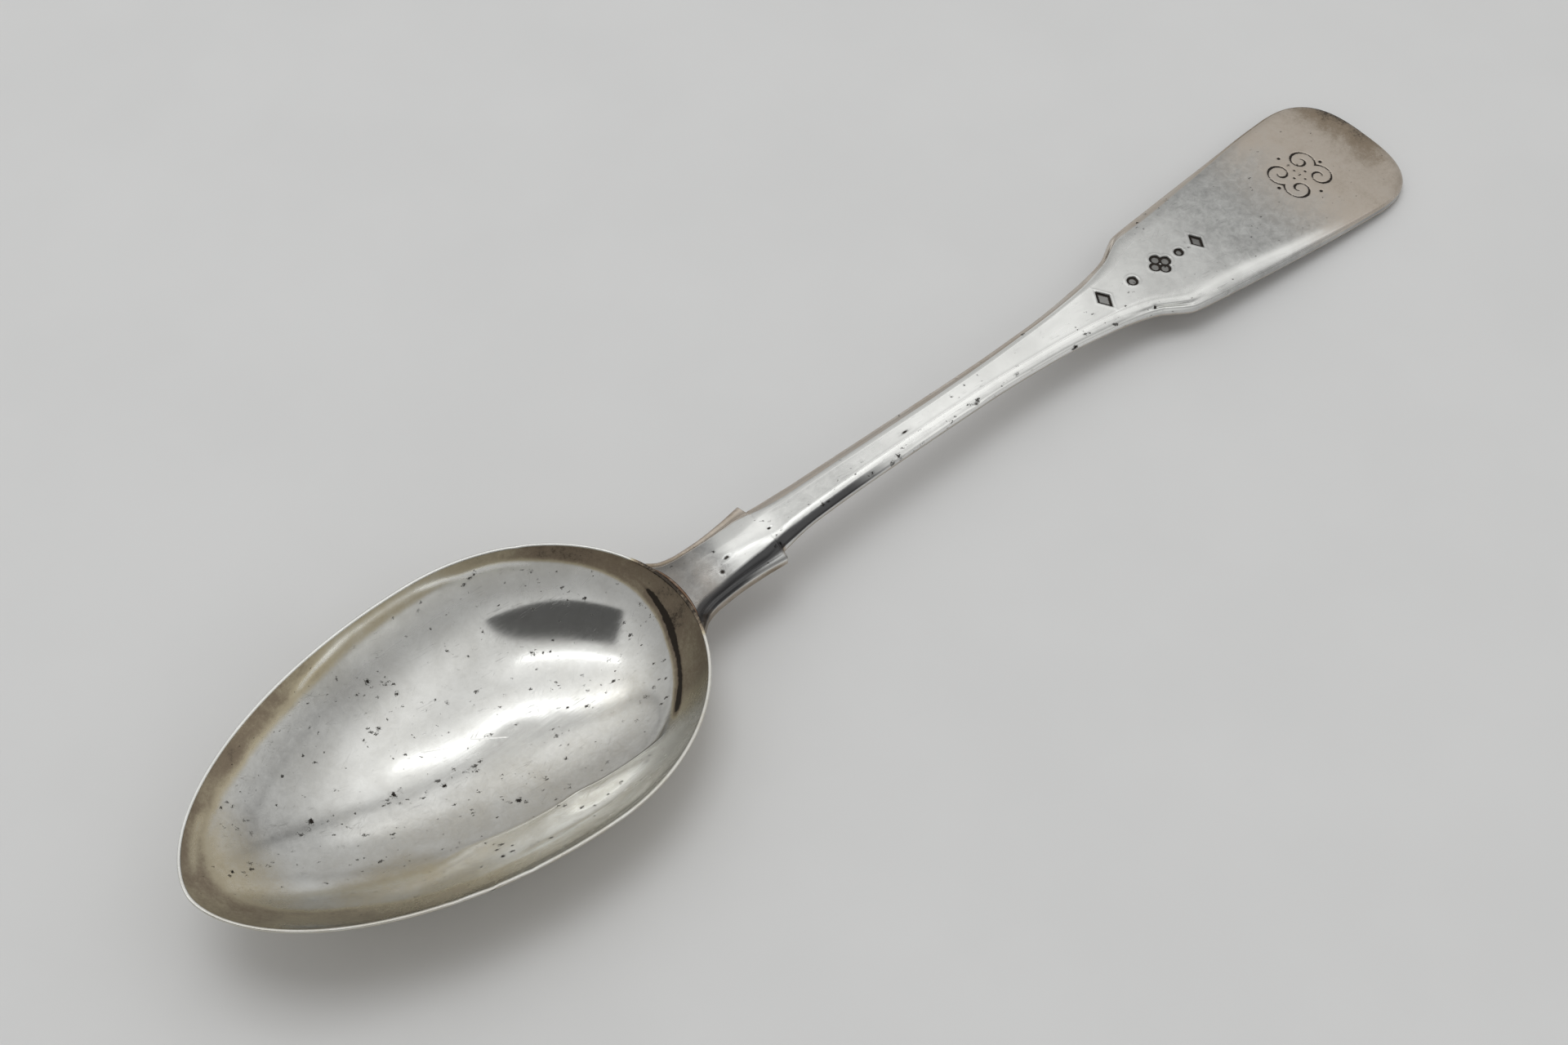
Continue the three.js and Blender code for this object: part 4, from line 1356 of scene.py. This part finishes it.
class TABLESPOON_OT_solder(bpy.types.Operator):
    """Run the solder into the joints between the bowl, the neck and the drop"""

    bl_idname = "tablespoon.solder"
    bl_label = "Solder"

    FILM_DEPTH = 0.9
    FILM_MARGIN = NECK_MARGIN - 0.03
    WORN_TOP = 0.3
    WORN_TOP_STEP = (9.6, 10.6)
    DROP_FILM_MARGIN = 0.08
    DROP_FILM = 0.14
    DROP_SPREAD = 0.12
    DROP_WORN = 0.2
    LEAST_RADIUS = 1e-6

    def execute(self, context):
        material = solder_material("hard_solder", context.scene.tablespoon_finish)
        corners = [(SOLDER_MARGIN, 0), (self.FILM_MARGIN, 0), (self.FILM_MARGIN, self.FILM_DEPTH),
                   (SOLDER_MARGIN, self.FILM_DEPTH), (SOLDER_MARGIN, 0)]
        rings = np.array([self.joint_ring(margin, depth) for margin, depth in corners])
        worn = self.WORN_TOP * smooth(*self.WORN_TOP_STEP, rings[..., 2])
        rings[..., 0] += TIP_X
        add_piece("neck_joint", rings, grid_faces(*rings.shape[:2]), {"satin": worn}, material,
                  "neck_solder")
        points, faces = drop_shell(self.DROP_FILM_MARGIN, self.DROP_FILM, self.DROP_SPREAD)
        add_piece("drop_joint", points, faces, {"satin": np.full(len(points), self.DROP_WORN)}, material,
                  "drop_solder")
        return {"FINISHED"}

    def joint_ring(self, margin, depth):
        """The neck's outline where it meets the bowl grown by a margin, drawn in by a depth."""
        y, z = half_section(neck_starts(margin)[None, :])[:, 0]
        middle = (z.max() + z.min()) / 2
        shrink = np.maximum(0, 1 - depth / np.maximum(np.hypot(y, z - middle), self.LEAST_RADIUS))
        y, z = y * shrink, mix(middle, z, shrink)
        half = np.stack([heel_place(y, z, margin), y, z], -1)
        return np.concatenate([half * (1, -1, 1), half[-2:0:-1]])


class TABLESPOON_OT_stage(bpy.types.Operator):
    """Set the pale floor, the soft lights and the camera"""

    bl_idname = "tablespoon.stage"
    bl_label = "Stage"

    FLOOR_SIZE = 12.0
    FLOOR_MOTTLE = (30, 3)
    FLOOR_MOTTLE_STEP = (0.3, 0.7)
    FLOOR_MOTTLE_TONE = 0.975
    FLOOR_ROUGHNESS = 0.75
    FLOOR_SPECULAR = 0.2
    # The room lies askew to the spoon: the way across it, and the turn of its length
    ROOM_ACROSS = (0.8, 0.6)
    ROOM_TURN = math.atan2(-ROOM_ACROSS[0], ROOM_ACROSS[1])
    LIGHT_HEIGHT = 1.2
    LIGHT_COLOUR = (0.97, 0.985, 1)
    # Strip lights: place, size and lean from the room's length
    STRIPS = [((-0.178, 0.279), (0.72, 0.04), -0.06), ((0.185, 0.446), (1.224, 0.05), 0.1)]
    PANEL = ((-0.06, 0.18), (0.6, 0.6))
    # Soft glows overhead: middle, reach, strength and bend
    GLOWS = [
        ((0.08, -0.21), (0.1, 0.4), 0.4, (0, 0)), ((0.345, -0.1), (0.085, 0.55), 0.4, (0.25, 0.2)),
        ((1.0, 0.03), (0.17, 0.35), 0.42, (0, 0)), ((0.9, 2.2), (0.9, 1.3), 0.2, (0, 0)),
    ]
    GLOW_END_POWER = 4.0
    # The dark seam overhead: place, bend, half-width and tone
    SEAM_PLACE = 0.57
    SEAM_BEND = (0.32, 0.46)
    SEAM_STEP = (0.02, 0.09)
    SEAM_TONE = 0.6
    # The dark patch on the near side: place and reach across, taper, edge, slanted end and tone
    PATCH_ACROSS = (0.47, 0.39)
    PATCH_TAPER = (0.1, 0.8)
    PATCH_TAPER_POWER = 2.0
    PATCH_EDGE = (0.9, 1.1)
    PATCH_SLANT = 0.38
    PATCH_END = (-0.47, -0.43)
    PATCH_TONE = 0.14
    # Tones of the room's far and near sides, from the horizon to overhead, and where the sides meet
    FAR_TONES = [
        (0, 0.62), (0.08, 0.54), (0.2, 0.44), (0.28, 0.4), (0.34, 0.3), (0.4, 0.4), (0.5, 0.41), (0.62, 0.47),
        (0.76, 0.66), (0.87, 0.72), (0.93, 0.6), (1, 0.56),
    ]
    NEAR_TONES = [
        (0, 0.62), (0.06, 0.42), (0.15, 0.36), (0.3, 0.32), (0.5, 0.34), (0.65, 0.4), (0.78, 0.5),
        (0.9, 0.55), (1, 0.56),
    ]
    SIDE_STEP = (-0.35, 0.35)
    # The least height by which a direction is carried up to the ceiling
    LEAST_HEIGHT = 0.05
    # Camera: width of its sensor in millimetres, and how near it sees in metres
    SENSOR_WIDTH = 36
    CLIP_START = 0.01

    def execute(self, context):
        stage = context.scene.tablespoon_stage
        self.add_floor(stage)
        self.add_room(context.scene, stage)
        for number, (place, size, lean) in enumerate(self.STRIPS):
            self.add_light(f"strip_light_{number}", place, size, lean, stage.strip_brightness)
        panel = self.add_light("soft_panel", *self.PANEL, 0, stage.panel_brightness)
        panel.visible_glossy = False
        self.add_camera(context.scene, stage)
        context.scene.view_settings.view_transform = "Standard"
        return {"FINISHED"}

    def add_floor(self, stage):
        """A wide pale floor with a faint mottle."""
        reach = self.FLOOR_SIZE / 2
        corners = [(-reach, -reach, 0), (reach, -reach, 0), (reach, reach, 0), (-reach, reach, 0)]
        mesh = bpy.data.meshes.new("floor")
        mesh.from_pydata(corners, [], [(0, 1, 2, 3)])
        material, wiring = start_material("pale_floor")
        metres = wiring.node("TexCoord").outputs["Object"]
        mottle = wiring.ramp(wiring.noise(metres, *self.FLOOR_MOTTLE), *self.FLOOR_MOTTLE_STEP)
        darker = [self.FLOOR_MOTTLE_TONE * c for c in stage.floor]
        colour = wiring.blend(mottle, opaque(darker), opaque(stage.floor))
        shader = wiring.node("BsdfPrincipled", {"Base Color": colour})
        shader.inputs["Roughness"].default_value = self.FLOOR_ROUGHNESS
        shader.inputs["Specular IOR Level"].default_value = self.FLOOR_SPECULAR
        wiring.node("OutputMaterial", {"Surface": shader.outputs[0]})
        mesh.materials.append(material)
        floor = bpy.data.objects.new("floor", mesh)
        bpy.context.scene.collection.objects.link(floor)

    def add_room(self, scene, stage):
        """A plain pale room, lighter overhead and along the far horizon, with one dark patch and a seam."""
        world = bpy.data.worlds.new("studio_room")
        world.use_nodes = True
        scene.world = world
        wiring = Wiring(world.node_tree)
        way = wiring.node("TexCoord").outputs["Generated"]
        x, y, z = wiring.node("SeparateXYZ", {0: way}).outputs
        cosine, sine = self.ROOM_ACROSS
        side = wiring.plus(wiring.times(x, cosine), wiring.times(y, sine))
        length = wiring.minus(wiring.times(x, sine), wiring.times(y, cosine))
        height = wiring.larger(z, self.LEAST_HEIGHT)
        across = wiring.over(side, height)
        along = wiring.over(length, height)
        far = wiring.tone_curve(z, self.FAR_TONES)
        near = wiring.tone_curve(z, self.NEAR_TONES)
        tone = wiring.blend(wiring.ramp(side, *self.SIDE_STEP), near, far)
        shade = wiring.times(self.dark_patch(wiring, across, along), self.dark_seam(wiring, across, along))
        strength = wiring.times(shade, stage.ambient)
        gain = 1.0
        for middle, reach, share, bend in self.GLOWS:
            straight = self.straightened(wiring, across, along, bend)
            u = wiring.over(wiring.minus(straight, middle[0]), reach[0])
            v = wiring.over(wiring.minus(along, middle[1]), reach[1])
            ends = wiring.math("POWER", wiring.unsigned(v), self.GLOW_END_POWER)
            spread = wiring.plus(wiring.times(u, u), ends)
            glow = wiring.math("POWER", math.e, wiring.times(spread, -1.0))
            gain = wiring.plus(gain, wiring.times(glow, share))
        lit = wiring.node("Background", {"Color": tone, "Strength": wiring.times(strength, gain)})
        wiring.node("OutputWorld", {"Surface": lit.outputs[0]})

    def dark_patch(self, wiring, across, along):
        """The tone of the dark patch, 1 outside it."""
        place, reach = self.PATCH_ACROSS
        width = wiring.unsigned(wiring.over(wiring.plus(across, place), reach))
        start, run = self.PATCH_TAPER
        taper = wiring.over(wiring.larger(wiring.plus(along, start), 0.0), run)
        edge = wiring.plus(width, wiring.math("POWER", taper, self.PATCH_TAPER_POWER))
        slant = wiring.minus(along, wiring.times(across, self.PATCH_SLANT))
        past_end = wiring.ramp(slant, *self.PATCH_END, 1.0, 0.0)
        outside = wiring.larger(wiring.ramp(edge, *self.PATCH_EDGE), past_end)
        return wiring.ramp(outside, 0.0, 1.0, self.PATCH_TONE, 1.0)

    def dark_seam(self, wiring, across, along):
        """The tone of the dark seam, 1 outside it."""
        straight = self.straightened(wiring, across, along, self.SEAM_BEND)
        beam = wiring.unsigned(wiring.minus(straight, self.SEAM_PLACE))
        beam = wiring.over(beam, wiring.plus(wiring.larger(along, 0.0), 1.0))
        return wiring.ramp(beam, *self.SEAM_STEP, self.SEAM_TONE, 1.0)

    def straightened(self, wiring, across, along, bend):
        """The distance across the room from a line that bends as it runs along."""
        slope = wiring.plus(wiring.times(along, bend[0]), bend[1])
        return wiring.minus(across, wiring.times(slope, along))

    def add_light(self, name, place, size, lean, brightness):
        """A flat lamp overhead that shines straight down."""
        lamp = bpy.data.lights.new(name, "AREA")
        lamp.shape = "RECTANGLE"
        lamp.size, lamp.size_y = size
        lamp.energy = brightness * math.pi * size[0] * size[1]
        lamp.color = self.LIGHT_COLOUR
        light = bpy.data.objects.new(name, lamp)
        light.location = (*place, self.LIGHT_HEIGHT)
        light.rotation_euler = (0, 0, self.ROOM_TURN + lean)
        bpy.context.scene.collection.objects.link(light)
        return light

    def add_camera(self, scene, stage):
        """The camera at the photograph's viewing angle."""
        lens = bpy.data.cameras.new("camera")
        lens.lens = stage.lens
        lens.sensor_width = self.SENSOR_WIDTH
        lens.clip_start = self.CLIP_START
        camera = bpy.data.objects.new("camera", lens)
        camera.location = stage.camera_place
        aim = Vector(stage.camera_aim) - Vector(stage.camera_place)
        camera.rotation_euler = aim.to_track_quat("-Z", "Y").to_euler()
        scene.collection.objects.link(camera)
        scene.camera = camera


class TABLESPOON_PT_panel(bpy.types.Panel):
    """Lists the spoon's pieces and settings"""

    bl_idname = "TABLESPOON_PT_panel"
    bl_label = "Tablespoon"
    bl_space_type = "VIEW_3D"
    bl_region_type = "UI"
    bl_category = "Tablespoon"

    def draw(self, context):
        layout = self.layout
        for operator in OPERATORS:
            layout.operator(operator.bl_idname)
        for setting in SETTINGS:
            group = getattr(context.scene, setting)
            box = layout.box()
            for name in group.__annotations__:
                box.prop(group, name)


OPERATORS = (
    TABLESPOON_OT_stage,
    TABLESPOON_OT_bowl,
    TABLESPOON_OT_handle,
    TABLESPOON_OT_heel_drop,
    TABLESPOON_OT_solder,
)
SETTINGS = {
    "tablespoon_shape": TablespoonShape,
    "tablespoon_finish": TablespoonFinish,
    "tablespoon_stage": TablespoonStage,
}
CLASSES = (*SETTINGS.values(), *OPERATORS, TABLESPOON_PT_panel)


def register():
    for made in CLASSES:
        bpy.utils.register_class(made)
    for setting, group in SETTINGS.items():
        setattr(bpy.types.Scene, setting, PointerProperty(type=group))


def unregister():
    for setting in SETTINGS:
        delattr(bpy.types.Scene, setting)
    for made in reversed(CLASSES):
        bpy.utils.unregister_class(made)


def main():
    register()
    bpy.ops.tablespoon.stage()
    bpy.ops.tablespoon.bowl()
    bpy.ops.tablespoon.handle()
    bpy.ops.tablespoon.heel_drop()
    bpy.ops.tablespoon.solder()


if __name__ == "__main__":
    main()
